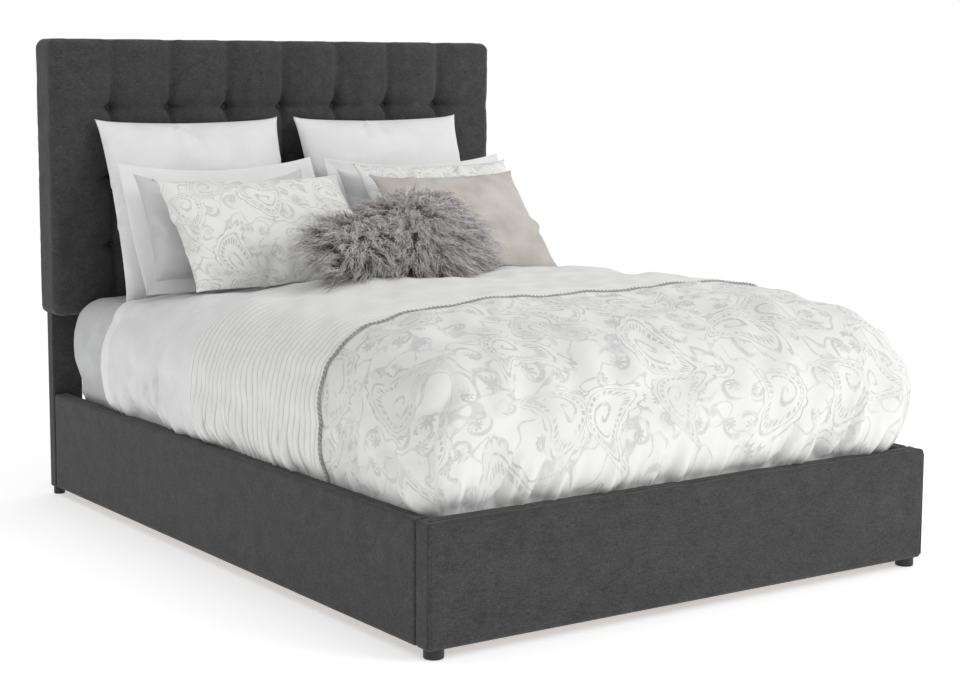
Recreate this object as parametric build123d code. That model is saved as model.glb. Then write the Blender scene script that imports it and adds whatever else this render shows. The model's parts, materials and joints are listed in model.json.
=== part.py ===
from build123d import *

import os

# A queen-size upholstered bed with a box-tufted headboard, made up with its bedding.
#
# Millimetres, +Z up. The origin is on the floor under the middle of the bed's outline, and +Y points to
# the headboard. Each assembly's function returns its sub-parts as a dictionary of node name to shape.
# Every layer is a separate solid: timber, foam, wadding, cloth covers, hardware and bedding.

# ---------------------------------------------------------------- driving dimensions
frame_width = 1640.0  # outside faces of the side rails
overall_length = 2215.0  # foot rail face to headboard back
headboard_width = 1672.0
headboard_top = 1456.0
headboard_bottom = 585.0
rail_bottom = 24.0  # height of the feet
rail_top = 330.0
side_rail_thick = 50.0
foot_rail_thick = 60.0
deck_top = 116.0  # top of the slats
box_spring_top = 345.0
mattress_top = 650.0
mattress_width = 1504.0
mattress_length = 2022.0
mattress_foot_gap = 13.0  # from the foot rail's inner face

# ---------------------------------------------------------------- layers
skin = 2.0  # cloth on the rails
sleeve = 3.0  # cloth and felt on the headboard posts
side_rail_foam = 14.0
foot_rail_foam = 20.0
rail_top_foam = 8.0
rail_corner_radius = 10.0
cover_thick = 3.0
wadding_thick = 10.0
foam_thick = 50.0
panel_thick = 12.0
post_thick = 38.0
post_width = 94.0
back_cover_thick = 2.0
headboard_corner_radius = 30.0
headboard_edge_radius = 25.0
headboard_side_foam = 16.0
back_cover_margin = 5.0
foot_rail_end_radius = 6.0
sheet_thick = 2.0

# ---------------------------------------------------------------- tufting
tuft_columns = 8
tuft_rows = 4
tuft_pitch = 207.0
button_radius = 13.0
button_depth = 9.0
button_recess = 25.0  # from the cover's face to the button's face
button_hole_radius = 15.0
tie_radius = 2.0
tie_disc_radius = 9.0
tie_disc_thick = 3.0
tie_hole_radius = 2.5

# ---------------------------------------------------------------- support
cleat_width = 30.0
cleat_height = 35.0
cleat_foot_gap = 2.0
cleat_head_gap = 4.0
slat_count = 12
slat_width = 70.0
slat_thick = 20.0
slat_pitch = 179.0
slat_half_length = 764.0
slat_edge_radius = 3.0
strap_offset = 710.0
strap_width = 40.0
strap_thick = 1.5
beam_width = 60.0
beam_height = 60.0
beam_end_gap = 0.5
hanger_length = 50.0
hanger_thick = 3.0
hanger_gap = 0.3  # room round the beam in its hanger
hanger_flange = 28.0
hanger_top_gap = 2.0
cross_rail_count = 4
cross_rail_height = 80.0
lower_rail_height = 100.0

# ---------------------------------------------------------------- hardware
bracket_thick = 3.0
bracket_leg = 60.0
bracket_head_leg = 46.0
bracket_low = 130.0
bracket_high = 210.0
bolt_radius = 4.0
bolt_head_radius = 7.0
bolt_head_thick = 5.0
bolt_length = 22.0
bolt_heights = (150.0, 190.0)
rail_bolt_inset = 36.0  # from the side rail's ends
foot_bolt_inset = 40.0  # from the side rail's inner face, in the foot rail
post_bolt_inset = 26.0  # from the side rail's inner face, in the post
hole_gap = 0.2  # radial room round a bolt or screw
screw_radius = 2.5
screw_head_radius = 4.5
screw_head_thick = 2.5
cleat_screws_per_side = 8
cleat_screw_length = 45.0
hanger_screw_length = 25.0
hanger_screw_offset = 17.0  # from the beam's side
hanger_screw_heights = (15.0, 45.0)  # above the beam's underside
panel_screw_length = 35.0
over = 1.0  # how far a cutter runs past a face
foot_radius = 25.0
foot_edge_radius = 4.0
foot_inset_x = 35.0
foot_inset_y = 32.0
post_foot_radius = 18.0
post_foot_inset = 22.0
post_foot_edge_radius = 3.0

# ---------------------------------------------------------------- levelling feet
leveller_places = (-600.0, 0.0, 600.0)
stud_radius = 4.0
stud_low = 3.8
stud_high = 66.0
running_gap = 0.05  # radial room for a thread or pin that turns
pad_radius = 20.0
pad_height = 7.0
pad_edge_radius = 2.0
pad_boss_radius = 9.0
pad_boss_top = 9.5
socket_floor = 3.5
collar_low = 10.0
collar_high = 16.0
collar_radius = 7.5
nut_flange_radius = 12.0
nut_flange_thick = 2.0
nut_barrel_radius = 5.5
nut_barrel_height = 20.0
beam_bore_top = 90.0
beam_bore_gap = 0.5

# ---------------------------------------------------------------- box spring
box_spring_base = deck_top + 0.3
box_spring_cloth = 4.0
box_spring_corner = 72.0
box_spring_edge = 8.0
box_frame_inset = 30.0
box_frame_height = 70.0
box_frame_member = 60.0
box_slat_count = 5
box_slat_inset = 40.0
box_slat_width = 70.0
box_slat_thick = 20.0
box_pad_thick = 12.0

# ---------------------------------------------------------------- mattress
mattress_base = box_spring_top + 0.3
mattress_corner = 70.0
mattress_rim = 45.0
# The +X half of its section, as X and Z: above its straight border, the side's middle, the belly, the
# shoulder's middle and end, and the crown's middle.
mattress_border = 20.0
mattress_side = (772.0, 430.0)
mattress_bulge = (780.0, 500.0)
mattress_shoulder = (756.0, 590.0)
mattress_shoulder_end = (690.0, 636.0)
mattress_crown = (350.0, 647.0)

# ---------------------------------------------------------------- comforter
comforter_length = 1796.0  # from the foot rail's face to its folded edge by the pillows
comforter_hem = 250.0  # how far down it is tucked beside the mattress
comforter_gap = 1.0  # from the sheet to the comforter
comforter_top = 757.0
comforter_half_width = 815.0
comforter_corner = 125.0
comforter_inner_rise = 20.0
tuck_gap = 2.0  # from the rails to the tucked cloth
tuck_rise = 5.0  # from the rails' top to where the cloth bellies out
belly_height = 480.0
low_belly_height = 395.0
low_belly_inset = 5.0
# Seen from the side, as distance from the foot rail's face and height: where it bellies out over the
# foot rail, the shoulder's middle and end, the crown's middle, and where its level part starts.
foot_low_belly = 18.0
foot_belly = 4.0
foot_shoulder = (38.0, 606.0)
foot_shoulder_end = (140.0, 690.0)
foot_crown = (300.0, 733.0)
foot_level = 527.0
# Its sections: distance from the foot rail's face; half width at the belly; the shoulder's middle and
# end; the crown's middle; height at the centre line.
comforter_sections = (
    (0, 798, (768, 618), (650, 720), (405, 754), 757),
    (527, 798, (768, 618), (650, 720), (405, 754), 757),
    (1215, 815, (782, 614), (630, 714), (330, 740), 746),
    (1800, 815, (776, 602), (690, 652), (350, 676), 682),
)

# ---------------------------------------------------------------- pillows
pillow_edge = 12.0  # half thickness at the seam
# Width, height, front and back bulge; middle, distance from the foot rail's face and height of the lower
# edge; lean and turn in degrees.
pillows = {
    "euro_pillow_left": (640, 590, 84, 46, -378, 1872, 658, 20, 0),
    "euro_pillow_right": (640, 590, 84, 46, 334, 1872, 658, 20, 0),
    "sham_pillow_left": (680, 436, 82, 43, -366, 1722, 697, 25.5, 0),
    "sham_pillow_right": (700, 430, 84, 42, 376, 1724, 698, 26, 0),
    "patterned_pillow_left": (640, 415, 78, 50, -333, 1488, 727, 42, 0),
    "patterned_pillow_right": (590, 425, 62, 48, 358, 1524, 721, 36, 0),
    "accent_pillow": (540, 400, 60, 40, 314, 1374, 738, 42, 0),
    "fur_pillow": (600, 330, 80, 55, -60, 1220, 765, 45, 4),
}

# ---------------------------------------------------------------- places worked out from the above
foot_face = -overall_length / 2
head_back = overall_length / 2
half_frame = frame_width / 2
side_inner = half_frame - side_rail_thick
foot_inner = foot_face + foot_rail_thick
back_cover_front = head_back - back_cover_thick
post_front = back_cover_front - post_thick
panel_front = post_front - panel_thick
foam_front = panel_front - foam_thick
wadding_front = foam_front - wadding_thick
cover_front = wadding_front - cover_thick
sleeve_front = post_front - sleeve
post_outer = half_frame - sleeve
post_inner = post_outer - post_width
frame_low = headboard_bottom + headboard_side_foam
frame_high = headboard_top - headboard_side_foam
tuft_row_pitch = (headboard_top - headboard_bottom) / tuft_rows
slat_low = deck_top - slat_thick
beam_low = slat_low - beam_height
mattress_foot = foot_inner + mattress_foot_gap
mattress_head = mattress_foot + mattress_length
comforter_head = foot_face + comforter_length
tuck_outer = side_inner - tuck_gap
bolt_cut = (bolt_radius, bolt_length)
everywhere = (-3000.0, 3000.0)  # limits beyond the bed on every side, for cutting blocks


def block(x, y, z):
    """A box between pairs of limits."""
    size = [pair[1] - pair[0] for pair in (x, y, z)]
    middle = [(pair[1] + pair[0]) / 2 for pair in (x, y, z)]
    return Pos(*middle) * Box(*size)


def both_sides(make):
    """The same piece for the left, -1, and the right, +1."""
    return {"left": make(-1), "right": make(1)}


def span(side, inner, outer):
    """X limits of a piece between two distances from the middle plane, on one side."""
    return tuple(sorted((side * inner, side * outer)))


def rod(start, direction, length, radius):
    """A cylinder from a start point along one direction."""
    return Plane(origin=start, z_dir=direction) * Cylinder(
        radius, length, align=(Align.CENTER, Align.CENTER, Align.MIN)
    )


def fastener(seat, direction, shank_radius, length, head_radius, head_thick):
    """A bolt or screw: its head stands out of the seat, and its shank goes in along direction."""
    back = tuple(-value for value in direction)
    return rod(seat, direction, length, shank_radius) + rod(
        seat, back, head_thick, head_radius
    )


def join(shapes):
    """Several separate solids as one compound."""
    return Compound(children=[solid for shape in shapes for solid in shape.solids()])


# ---------------------------------------------------------------- fastener places
def bracket_bolt_places():
    """Seat point and direction of each bolt through the corner brackets."""
    places = []
    for side in (-1, 1):
        rail_seat = side * (side_inner - bracket_thick)
        for height in bolt_heights:
            places.append(((rail_seat, foot_inner + rail_bolt_inset, height), (side, 0, 0)))
            places.append(((rail_seat, sleeve_front - rail_bolt_inset, height), (side, 0, 0)))
            foot_seat = (side * (side_inner - foot_bolt_inset), foot_inner + bracket_thick, height)
            places.append((foot_seat, (0, -1, 0)))
            post_seat = (side * (side_inner - post_bolt_inset), sleeve_front - bracket_thick, height)
            places.append((post_seat, (0, 1, 0)))
    return places


def cleat_screw_places():
    """Seat point and direction of the screws that hold the slat cleats."""
    places = []
    run = sleeve_front - foot_inner
    for side in (-1, 1):
        for index in range(cleat_screws_per_side):
            y = foot_inner + run * (index + 0.5) / cleat_screws_per_side
            height = slat_low - cleat_height / 2
            places.append(((side * (side_inner - cleat_width), y, height), (side, 0, 0)))
    return places


def hanger_screw_places():
    """Seat point and direction of the screws that hold the beam's two hangers."""
    places = []
    for side in (-1, 1):
        x = side * (beam_width / 2 + hanger_screw_offset)
        for height in hanger_screw_heights:
            places.append(((x, foot_inner + hanger_thick, beam_low + height), (0, -1, 0)))
            places.append(((x, post_front - hanger_thick, beam_low + height), (0, 1, 0)))
    return places


def panel_screw_places():
    """Seat point and direction of the screws from the headboard panel into its posts."""
    places = []
    for side in (-1, 1):
        for index in range(tuft_rows):
            height = frame_low + (frame_high - frame_low) * (index + 0.5) / tuft_rows
            x = side * (post_outer + post_inner) / 2
            places.append(((x, panel_front + screw_head_thick, height), (0, 1, 0)))
    return places


def cut_holes(shape, places, radius, length):
    """Removes a round hole with a little room at each place."""
    for seat, direction in places:
        shape = shape - rod(seat, direction, length + over, radius + hole_gap)
    return shape


# ---------------------------------------------------------------- headboard
def headboard_outline(inset, front):
    """The padded panel's outer form, inset all round, from a front plane to the back cover."""
    plane = Plane(origin=(0, back_cover_front, 0), x_dir=(1, 0, 0), z_dir=(0, -1, 0))
    middle = (headboard_top + headboard_bottom) / 2
    outline = RectangleRounded(
        headboard_width - 2 * inset,
        headboard_top - headboard_bottom - 2 * inset,
        headboard_corner_radius - inset,
    )
    form = extrude(plane * Pos(0, middle, 0) * outline, back_cover_front - front)
    edges = form.faces().sort_by(Axis.Y)[0].edges()
    return fillet(edges, headboard_edge_radius - inset)


def button_places():
    """X and Z of every tufting button."""
    columns = range(1, tuft_columns)
    rows = range(1, tuft_rows)
    centre = tuft_columns / 2
    return [
        ((column - centre) * tuft_pitch, headboard_bottom + row * tuft_row_pitch)
        for column in columns
        for row in rows
    ]


def post_blocks(gap):
    """Both posts' footprints with a gap, the full height of the bed, to cut with."""
    return [
        block(
            span(side, post_inner - gap, post_outer + gap),
            (post_front, back_cover_front),
            (0, frame_high),
        )
        for side in (-1, 1)
    ]


def headboard_soft_parts():
    """Foam, wadding and cover of the padded panel, with a hole at each button."""
    inner = headboard_outline(cover_thick, wadding_front)
    behind_wadding = block(everywhere, (foam_front, back_cover_front), everywhere)
    in_front = block(everywhere, (wadding_front - over, foam_front), everywhere)
    pocket = block(
        (-half_frame, half_frame), (panel_front, back_cover_front), (frame_low, frame_high)
    )
    holes = [
        rod((x, cover_front - over, z), (0, 1, 0), panel_front - cover_front + over, button_hole_radius)
        for x, z in button_places()
    ]
    foam = (inner & behind_wadding) - pocket
    wadding = inner & in_front
    cover = headboard_outline(0, cover_front) - inner
    for cutter in post_blocks(0):
        foam = foam - cutter
        cover = cover - cutter
    return {
        "headboard_foam": foam - holes,
        "headboard_wadding": wadding - holes,
        "headboard_cover": cover - holes,
    }


def tufting_button(x, z):
    """One covered button with its tie and the disc that anchors it behind the panel."""
    face = cover_front + button_recess
    cap = rod((x, face, z), (0, 1, 0), button_depth, button_radius)
    cap = fillet(cap.faces().sort_by(Axis.Y)[0].edges(), button_depth / 2)
    tie = rod((x, face + button_depth, z), (0, 1, 0), post_front - face - button_depth, tie_radius)
    disc = rod((x, post_front, z), (0, 1, 0), tie_disc_thick, tie_disc_radius)
    return cap + tie + disc


def headboard_panel():
    """The plywood panel behind the foam, bored for the button ties and its screws."""
    panel = block((-half_frame, half_frame), (panel_front, post_front), (frame_low, frame_high))
    panel = panel - [
        rod((x, panel_front - over, z), (0, 1, 0), panel_thick + 2 * over, tie_hole_radius)
        for x, z in button_places()
    ]
    for seat, direction in panel_screw_places():
        panel = panel - rod(
            (seat[0], panel_front - over, seat[2]),
            direction,
            screw_head_thick + over,
            screw_head_radius + hole_gap,
        )
    return cut_holes(panel, panel_screw_places(), screw_radius, panel_screw_length)


def headboard_cross_rails():
    """The rails between the posts, clear of the button rows."""
    step = (frame_high - frame_low - cross_rail_height) / (cross_rail_count - 1)
    rails = []
    for index in range(cross_rail_count):
        low = frame_low + index * step
        rails.append(
            block(
                (-post_inner, post_inner),
                (post_front, back_cover_front),
                (low, low + cross_rail_height),
            )
        )
    return join(rails)


def headboard_post(side):
    """A full-height post: its top is inside the padded panel and its foot carries the side rail."""
    post = block(
        span(side, post_inner, post_outer), (post_front, back_cover_front), (rail_bottom, frame_high)
    )
    post = cut_holes(post, bracket_bolt_places(), *bolt_cut)
    return cut_holes(post, panel_screw_places(), screw_radius, panel_screw_length)


def post_sleeve(side):
    """The cloth sleeve on the part of a post that shows below the padded panel."""
    outer = block(
        span(side, post_inner - sleeve, post_outer + sleeve),
        (sleeve_front, back_cover_front),
        (rail_bottom, headboard_bottom),
    )
    return cut_holes(outer - post_blocks(0), bracket_bolt_places(), *bolt_cut)


def lower_rail():
    """The rail between the two posts near the floor, which carries the beam's head end."""
    rail = block(
        (-(post_inner - sleeve), post_inner - sleeve),
        (post_front, back_cover_front),
        (rail_bottom, rail_bottom + lower_rail_height),
    )
    return cut_holes(rail, hanger_screw_places(), screw_radius, hanger_screw_length)


def post_foot(side):
    """The round foot under a post."""
    x = side * (half_frame - post_foot_inset)
    y = (post_front + back_cover_front) / 2
    foot = rod((x, y, 0), (0, 0, 1), rail_bottom, post_foot_radius)
    return fillet(foot.faces().sort_by(Axis.Z)[0].edges(), post_foot_edge_radius)


def headboard():
    """The whole headboard assembly."""
    parts = headboard_soft_parts()
    parts["headboard_buttons"] = join([tufting_button(x, z) for x, z in button_places()])
    parts["headboard_panel"] = headboard_panel()
    parts["headboard_cross_rails"] = headboard_cross_rails()
    parts["headboard_back_cover"] = block(
        (-post_outer, post_outer),
        (back_cover_front, head_back),
        (headboard_bottom + back_cover_margin, headboard_top - back_cover_margin),
    )
    parts["headboard_lower_rail"] = lower_rail()
    for side, post in both_sides(headboard_post).items():
        parts[f"headboard_post_{side}"] = post
    for side, cloth in both_sides(post_sleeve).items():
        parts[f"post_sleeve_{side}"] = cloth
    for side, foot in both_sides(post_foot).items():
        parts[f"post_foot_{side}"] = foot
    return parts


# ---------------------------------------------------------------- rails
def rail_form(x, y, inset, along):
    """A rail's outer form with rounded upper edges, inset from its faces but not from its ends."""
    inset_x, inset_y = (0, inset) if along == "x" else (inset, 0)
    form = block(
        (x[0] + inset_x, x[1] - inset_x),
        (y[0] + inset_y, y[1] - inset_y),
        (rail_bottom + inset, rail_top - inset),
    )
    long_axis = Axis.X if along == "x" else Axis.Y
    edges = form.edges().filter_by(long_axis).group_by(Axis.Z)[-1]
    return fillet(edges, rail_corner_radius - inset)


def side_rail(side):
    """Board, foam and cover of one side rail."""
    x = span(side, side_inner, half_frame)
    y = (foot_inner, sleeve_front)
    outer = rail_form(x, y, 0, "y")
    inner = rail_form(x, y, skin, "y")
    board = block(
        span(side, side_inner + skin, half_frame - skin - side_rail_foam),
        y,
        (rail_bottom + skin, rail_top - skin - rail_top_foam),
    )
    cuts = (
        (bracket_bolt_places(), *bolt_cut),
        (cleat_screw_places(), screw_radius, cleat_screw_length),
    )
    cover = outer - inner
    foam = inner - board
    for places, radius, length in cuts:
        board = cut_holes(board, places, radius, length)
        cover = cut_holes(cover, places, radius, length)
    return {"board": board, "foam": foam, "cover": cover}


def foot_rail():
    """Board, foam and cover of the foot rail, which runs across the ends of the side rails."""
    x = (-half_frame, half_frame)
    y = (foot_face, foot_inner)
    form = rail_form(x, y, 0, "x")
    ends = form.edges().filter_by(Axis.Z).group_by(Axis.Y)[0]
    outer = fillet(ends, foot_rail_end_radius)
    ends_block = block((-half_frame + skin, half_frame - skin), y, everywhere)
    inner = rail_form(x, y, skin, "x") & ends_block
    board = block(
        (-half_frame + skin + side_rail_foam, half_frame - skin - side_rail_foam),
        (foot_face + skin + foot_rail_foam, foot_inner - skin),
        (rail_bottom + skin, rail_top - skin - rail_top_foam),
    )
    cover = outer - inner
    foam = inner - board
    cuts = (
        (bracket_bolt_places(), *bolt_cut),
        (hanger_screw_places(), screw_radius, hanger_screw_length),
    )
    for places, radius, length in cuts:
        board = cut_holes(board, places, radius, length)
        cover = cut_holes(cover, places, radius, length)
    return {"foot_rail_board": board, "foot_rail_foam": foam, "foot_rail_cover": cover}


def front_foot(side):
    """The round plastic foot under one end of the foot rail."""
    centre = (side * (half_frame - foot_inset_x), foot_face + foot_inset_y, 0)
    foot = rod(centre, (0, 0, 1), rail_bottom, foot_radius)
    return fillet(foot.faces().sort_by(Axis.Z)[0].edges(), foot_edge_radius)


def cleat(side):
    """The timber strip inside a side rail that the slats rest on."""
    strip = block(
        span(side, side_inner - cleat_width, side_inner),
        (foot_inner + cleat_foot_gap, sleeve_front - cleat_head_gap),
        (slat_low - cleat_height, slat_low),
    )
    return cut_holes(strip, cleat_screw_places(), screw_radius, cleat_screw_length)


def corner_bracket(side, end):
    """A steel angle that joins a side rail to the foot rail or to a headboard post."""
    height = (bracket_low, bracket_high)
    if end == "foot":
        along = (foot_inner, foot_inner + bracket_leg)
        across = (foot_inner, foot_inner + bracket_thick)
        reach = bracket_leg
    else:
        along = (sleeve_front - bracket_leg, sleeve_front)
        across = (sleeve_front - bracket_thick, sleeve_front)
        reach = bracket_head_leg
    angle = block(span(side, side_inner - bracket_thick, side_inner), along, height)
    angle = angle + block(span(side, side_inner - reach, side_inner), across, height)
    return cut_holes(angle, bracket_bolt_places(), *bolt_cut)


def rails():
    """Side rails, foot rail, feet, cleats and corner brackets."""
    parts = foot_rail()
    for name, side in (("left", -1), ("right", 1)):
        for layer, shape in side_rail(side).items():
            parts[f"side_rail_{layer}_{name}"] = shape
        parts[f"slat_cleat_{name}"] = cleat(side)
        parts[f"front_foot_{name}"] = front_foot(side)
        for end in ("foot", "head"):
            parts[f"corner_bracket_{end}_{name}"] = corner_bracket(side, end)
    return parts


# ---------------------------------------------------------------- slats and centre beam
def slats():
    """The slats across the cleats and the beam."""
    first = -slat_pitch * (slat_count - 1) / 2
    rows = []
    for index in range(slat_count):
        y = first + index * slat_pitch
        slat = block(
            (-slat_half_length, slat_half_length),
            (y - slat_width / 2, y + slat_width / 2),
            (slat_low, deck_top),
        )
        rows.append(fillet(slat.edges().filter_by(Axis.X), slat_edge_radius))
    return join(rows)


def slat_straps():
    """The two webbing straps that keep the slats evenly spaced."""
    half_run = slat_pitch * (slat_count - 1) / 2 + slat_width / 2
    return join(
        [
            block(
                (x - strap_width / 2, x + strap_width / 2),
                (-half_run, half_run),
                (slat_low - strap_thick, slat_low),
            )
            for x in (-strap_offset, strap_offset)
        ]
    )


def centre_beam():
    """The beam under the middle of the slats, bored for the levelling studs."""
    beam = block(
        (-beam_width / 2, beam_width / 2),
        (foot_inner + hanger_thick + beam_end_gap, post_front - hanger_thick - beam_end_gap),
        (beam_low, slat_low),
    )
    for y in leveller_places:
        beam = beam - rod((0, y, beam_low), (0, 0, 1), nut_barrel_height, nut_barrel_radius)
        bore = stud_radius + beam_bore_gap
        beam = beam - rod((0, y, beam_low), (0, 0, 1), beam_bore_top - beam_low, bore)
    return beam


def beam_hanger(end):
    """The steel stirrup that holds one end of the beam."""
    if end == "foot":
        plate_y = (foot_inner, foot_inner + hanger_thick)
        seat_y = (foot_inner, foot_inner + hanger_length)
    else:
        plate_y = (post_front - hanger_thick, post_front)
        seat_y = (post_front - hanger_length, post_front)
    half = beam_width / 2 + hanger_gap
    low = beam_low - hanger_gap - hanger_thick
    high = slat_low - hanger_top_gap
    stirrup = block((-half - hanger_thick, half + hanger_thick), seat_y, (low, high))
    stirrup = stirrup - block((-half, half), everywhere, (low + hanger_thick, high))
    plate = block((-half - hanger_flange, half + hanger_flange), plate_y, (low, high))
    return cut_holes(stirrup + plate, hanger_screw_places(), screw_radius, hanger_screw_length)


def tee_nut(y):
    """A threaded insert in the beam for one levelling stud."""
    barrel = rod((0, y, beam_low), (0, 0, 1), nut_barrel_height, nut_barrel_radius)
    flange = rod((0, y, beam_low - nut_flange_thick), (0, 0, 1), nut_flange_thick, nut_flange_radius)
    bore = rod((0, y, 0), (0, 0, 1), beam_bore_top, stud_radius + running_gap)
    return barrel + flange - bore


def levelling_pad(y):
    """The foot pad of one levelling foot, with the socket its stud turns in."""
    pad = rod((0, y, 0), (0, 0, 1), pad_height, pad_radius)
    pad = fillet(pad.faces().sort_by(Axis.Z)[-1].edges(), pad_edge_radius)
    pad = pad + rod((0, y, pad_height), (0, 0, 1), pad_boss_top - pad_height, pad_boss_radius)
    return pad - rod((0, y, socket_floor), (0, 0, 1), pad_boss_top, stud_radius + running_gap)


def levelling_stud(y):
    """The threaded stud of one levelling foot, with a hexagon to turn it by."""
    stud = rod((0, y, stud_low), (0, 0, 1), stud_high - stud_low, stud_radius)
    hexagon = Pos(0, y, collar_low) * extrude(
        RegularPolygon(collar_radius, 6), collar_high - collar_low
    )
    return stud + hexagon


def support():
    """Slats, beam and levelling feet."""
    parts = {
        "slats": slats(),
        "slat_straps": slat_straps(),
        "centre_beam": centre_beam(),
        "beam_hanger_foot": beam_hanger("foot"),
        "beam_hanger_head": beam_hanger("head"),
        "beam_tee_nuts": join([tee_nut(y) for y in leveller_places]),
    }
    for number, y in enumerate(leveller_places, 1):
        parts[f"levelling_pad_{number}"] = levelling_pad(y)
        parts[f"levelling_stud_{number}"] = levelling_stud(y)
    return parts


def fasteners():
    """Bolts of the corner brackets, and all the wood screws."""
    bolts = [
        fastener(seat, way, bolt_radius, bolt_length, bolt_head_radius, bolt_head_thick)
        for seat, way in bracket_bolt_places()
    ]
    groups = (
        (cleat_screw_places(), cleat_screw_length),
        (hanger_screw_places(), hanger_screw_length),
        (panel_screw_places(), panel_screw_length),
    )
    screws = [
        fastener(seat, way, screw_radius, length, screw_head_radius, screw_head_thick)
        for places, length in groups
        for seat, way in places
    ]
    return {"bracket_bolts": join(bolts), "wood_screws": join(screws)}


# ---------------------------------------------------------------- box spring and mattress
def soft_block(x_half, y, z, corner, edge):
    """A mattress-like block with rounded upright corners and rounded top and bottom edges."""
    form = block((-x_half, x_half), y, z)
    form = fillet(form.edges().filter_by(Axis.Z), corner)
    rims = form.faces().sort_by(Axis.Z)
    return fillet(rims[0].edges() + rims[-1].edges(), edge)


def box_spring():
    """The foundation: a timber frame with a sprung top, inside a cloth cover."""
    y = (mattress_foot, mattress_head)
    half = mattress_width / 2
    cloth = box_spring_cloth
    outer = soft_block(
        half, y, (box_spring_base, box_spring_top), box_spring_corner, box_spring_edge
    )
    inner = soft_block(
        half - cloth,
        (y[0] + cloth, y[1] - cloth),
        (box_spring_base + cloth, box_spring_top - cloth),
        box_spring_corner - cloth,
        box_spring_edge - cloth,
    )
    low = box_spring_base + cloth
    frame_x = (-half + box_frame_inset, half - box_frame_inset)
    frame_y = (y[0] + box_frame_inset, y[1] - box_frame_inset)
    frame_z = (low, low + box_frame_height)
    frame = block(frame_x, frame_y, frame_z) - block(
        (frame_x[0] + box_frame_member, frame_x[1] - box_frame_member),
        (frame_y[0] + box_frame_member, frame_y[1] - box_frame_member),
        frame_z,
    )
    for index in range(box_slat_count):
        middle = y[0] + (index + 1) * mattress_length / (box_slat_count + 1)
        frame = frame + block(
            (-half + box_slat_inset, half - box_slat_inset),
            (middle - box_slat_width / 2, middle + box_slat_width / 2),
            (low, low + box_slat_thick),
        )
    pad_top = box_spring_top - cloth
    pad = block(frame_x, frame_y, (pad_top - box_pad_thick, pad_top))
    return {
        "box_spring_cover": outer - inner,
        "box_spring_frame": frame,
        "box_spring_pad": pad,
    }


def mattress_section(grow):
    """The mattress's outline seen from the foot, grown, and extruded past both its ends."""
    base = (mattress_width / 2, mattress_base)
    border = (mattress_width / 2, mattress_base + mattress_border)
    half = make_face(
        [
            Line(base, border),
            ThreePointArc(border, mattress_side, mattress_bulge),
            ThreePointArc(mattress_bulge, mattress_shoulder, mattress_shoulder_end),
            ThreePointArc(mattress_shoulder_end, mattress_crown, (0, mattress_top)),
            Line((0, mattress_top), (0, mattress_base)),
            Line((0, mattress_base), base),
        ]
    )
    face = half + mirror(half, Plane.YZ)
    if grow:
        face = offset(face, grow)
    plane = Plane(origin=(0, everywhere[1], 0), x_dir=(1, 0, 0), z_dir=(0, -1, 0))
    return extrude(plane * face, everywhere[1] - everywhere[0])


def mattress_form(grow):
    """The mattress, grown on its sides and top by the thickness of what lies on it."""
    form = soft_block(
        mattress_bulge[0] + grow,
        (mattress_foot - grow, mattress_head + grow),
        (mattress_base, mattress_top + grow),
        mattress_corner + grow,
        mattress_rim,
    )
    return form & mattress_section(grow)


def mattress():
    """The mattress and the fitted sheet pulled over it."""
    sheet = mattress_form(sheet_thick) - mattress_form(0)
    hem = block(everywhere, everywhere, (mattress_base + mattress_rim, everywhere[1]))
    return {"mattress": mattress_form(0), "fitted_sheet": sheet & hem}


# ---------------------------------------------------------------- comforter
def comforter_section(from_foot, belly, shoulder, end, crown, centre):
    """One cross-section: tucked in, bellied over the rails and crowned on top."""
    tuck_end = (tuck_outer, rail_top + tuck_rise)
    low_belly = (belly - low_belly_inset, low_belly_height)
    half = [
        Line((tuck_outer, comforter_hem), tuck_end),
        ThreePointArc(tuck_end, low_belly, (belly, belly_height)),
        ThreePointArc((belly, belly_height), shoulder, end),
        ThreePointArc(end, crown, (0, centre)),
        Line((0, centre), (0, comforter_hem)),
        Line((0, comforter_hem), (tuck_outer, comforter_hem)),
    ]
    place = Plane(origin=(0, foot_face + from_foot, 0), x_dir=(1, 0, 0), z_dir=(0, -1, 0))
    return place * make_face(half)


def comforter_lengthwise():
    """The comforter's form over its length, from one cross-section to the next."""
    faces = [comforter_section(*values) for values in comforter_sections]
    half = loft(faces[0:2], ruled=True)
    for index in range(1, len(faces) - 1):
        half = half + loft(faces[index : index + 2], ruled=True)
    return half + mirror(half, Plane.YZ)


def comforter_side_outline():
    """Its outline seen from the side, which bellies out over the foot rail."""

    def at(from_foot, height):
        return (foot_face + from_foot, height)

    tuck = foot_rail_thick + tuck_gap
    tuck_end = at(tuck, rail_top + tuck_rise)
    belly = at(foot_belly, belly_height)
    shoulder_end = at(*foot_shoulder_end)
    level_start = at(foot_level, comforter_top)
    lines = [
        Line(at(tuck, comforter_hem), tuck_end),
        ThreePointArc(tuck_end, at(foot_low_belly, low_belly_height), belly),
        ThreePointArc(belly, at(*foot_shoulder), shoulder_end),
        ThreePointArc(shoulder_end, at(*foot_crown), level_start),
        Line(level_start, at(comforter_length, comforter_top)),
        Line(at(comforter_length, comforter_top), at(comforter_length, comforter_hem)),
        Line(at(comforter_length, comforter_hem), at(tuck, comforter_hem)),
    ]
    plane = Plane(origin=(everywhere[0], 0, 0), x_dir=(0, 1, 0), z_dir=(1, 0, 0))
    return extrude(plane * make_face(lines), everywhere[1] - everywhere[0])


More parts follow.
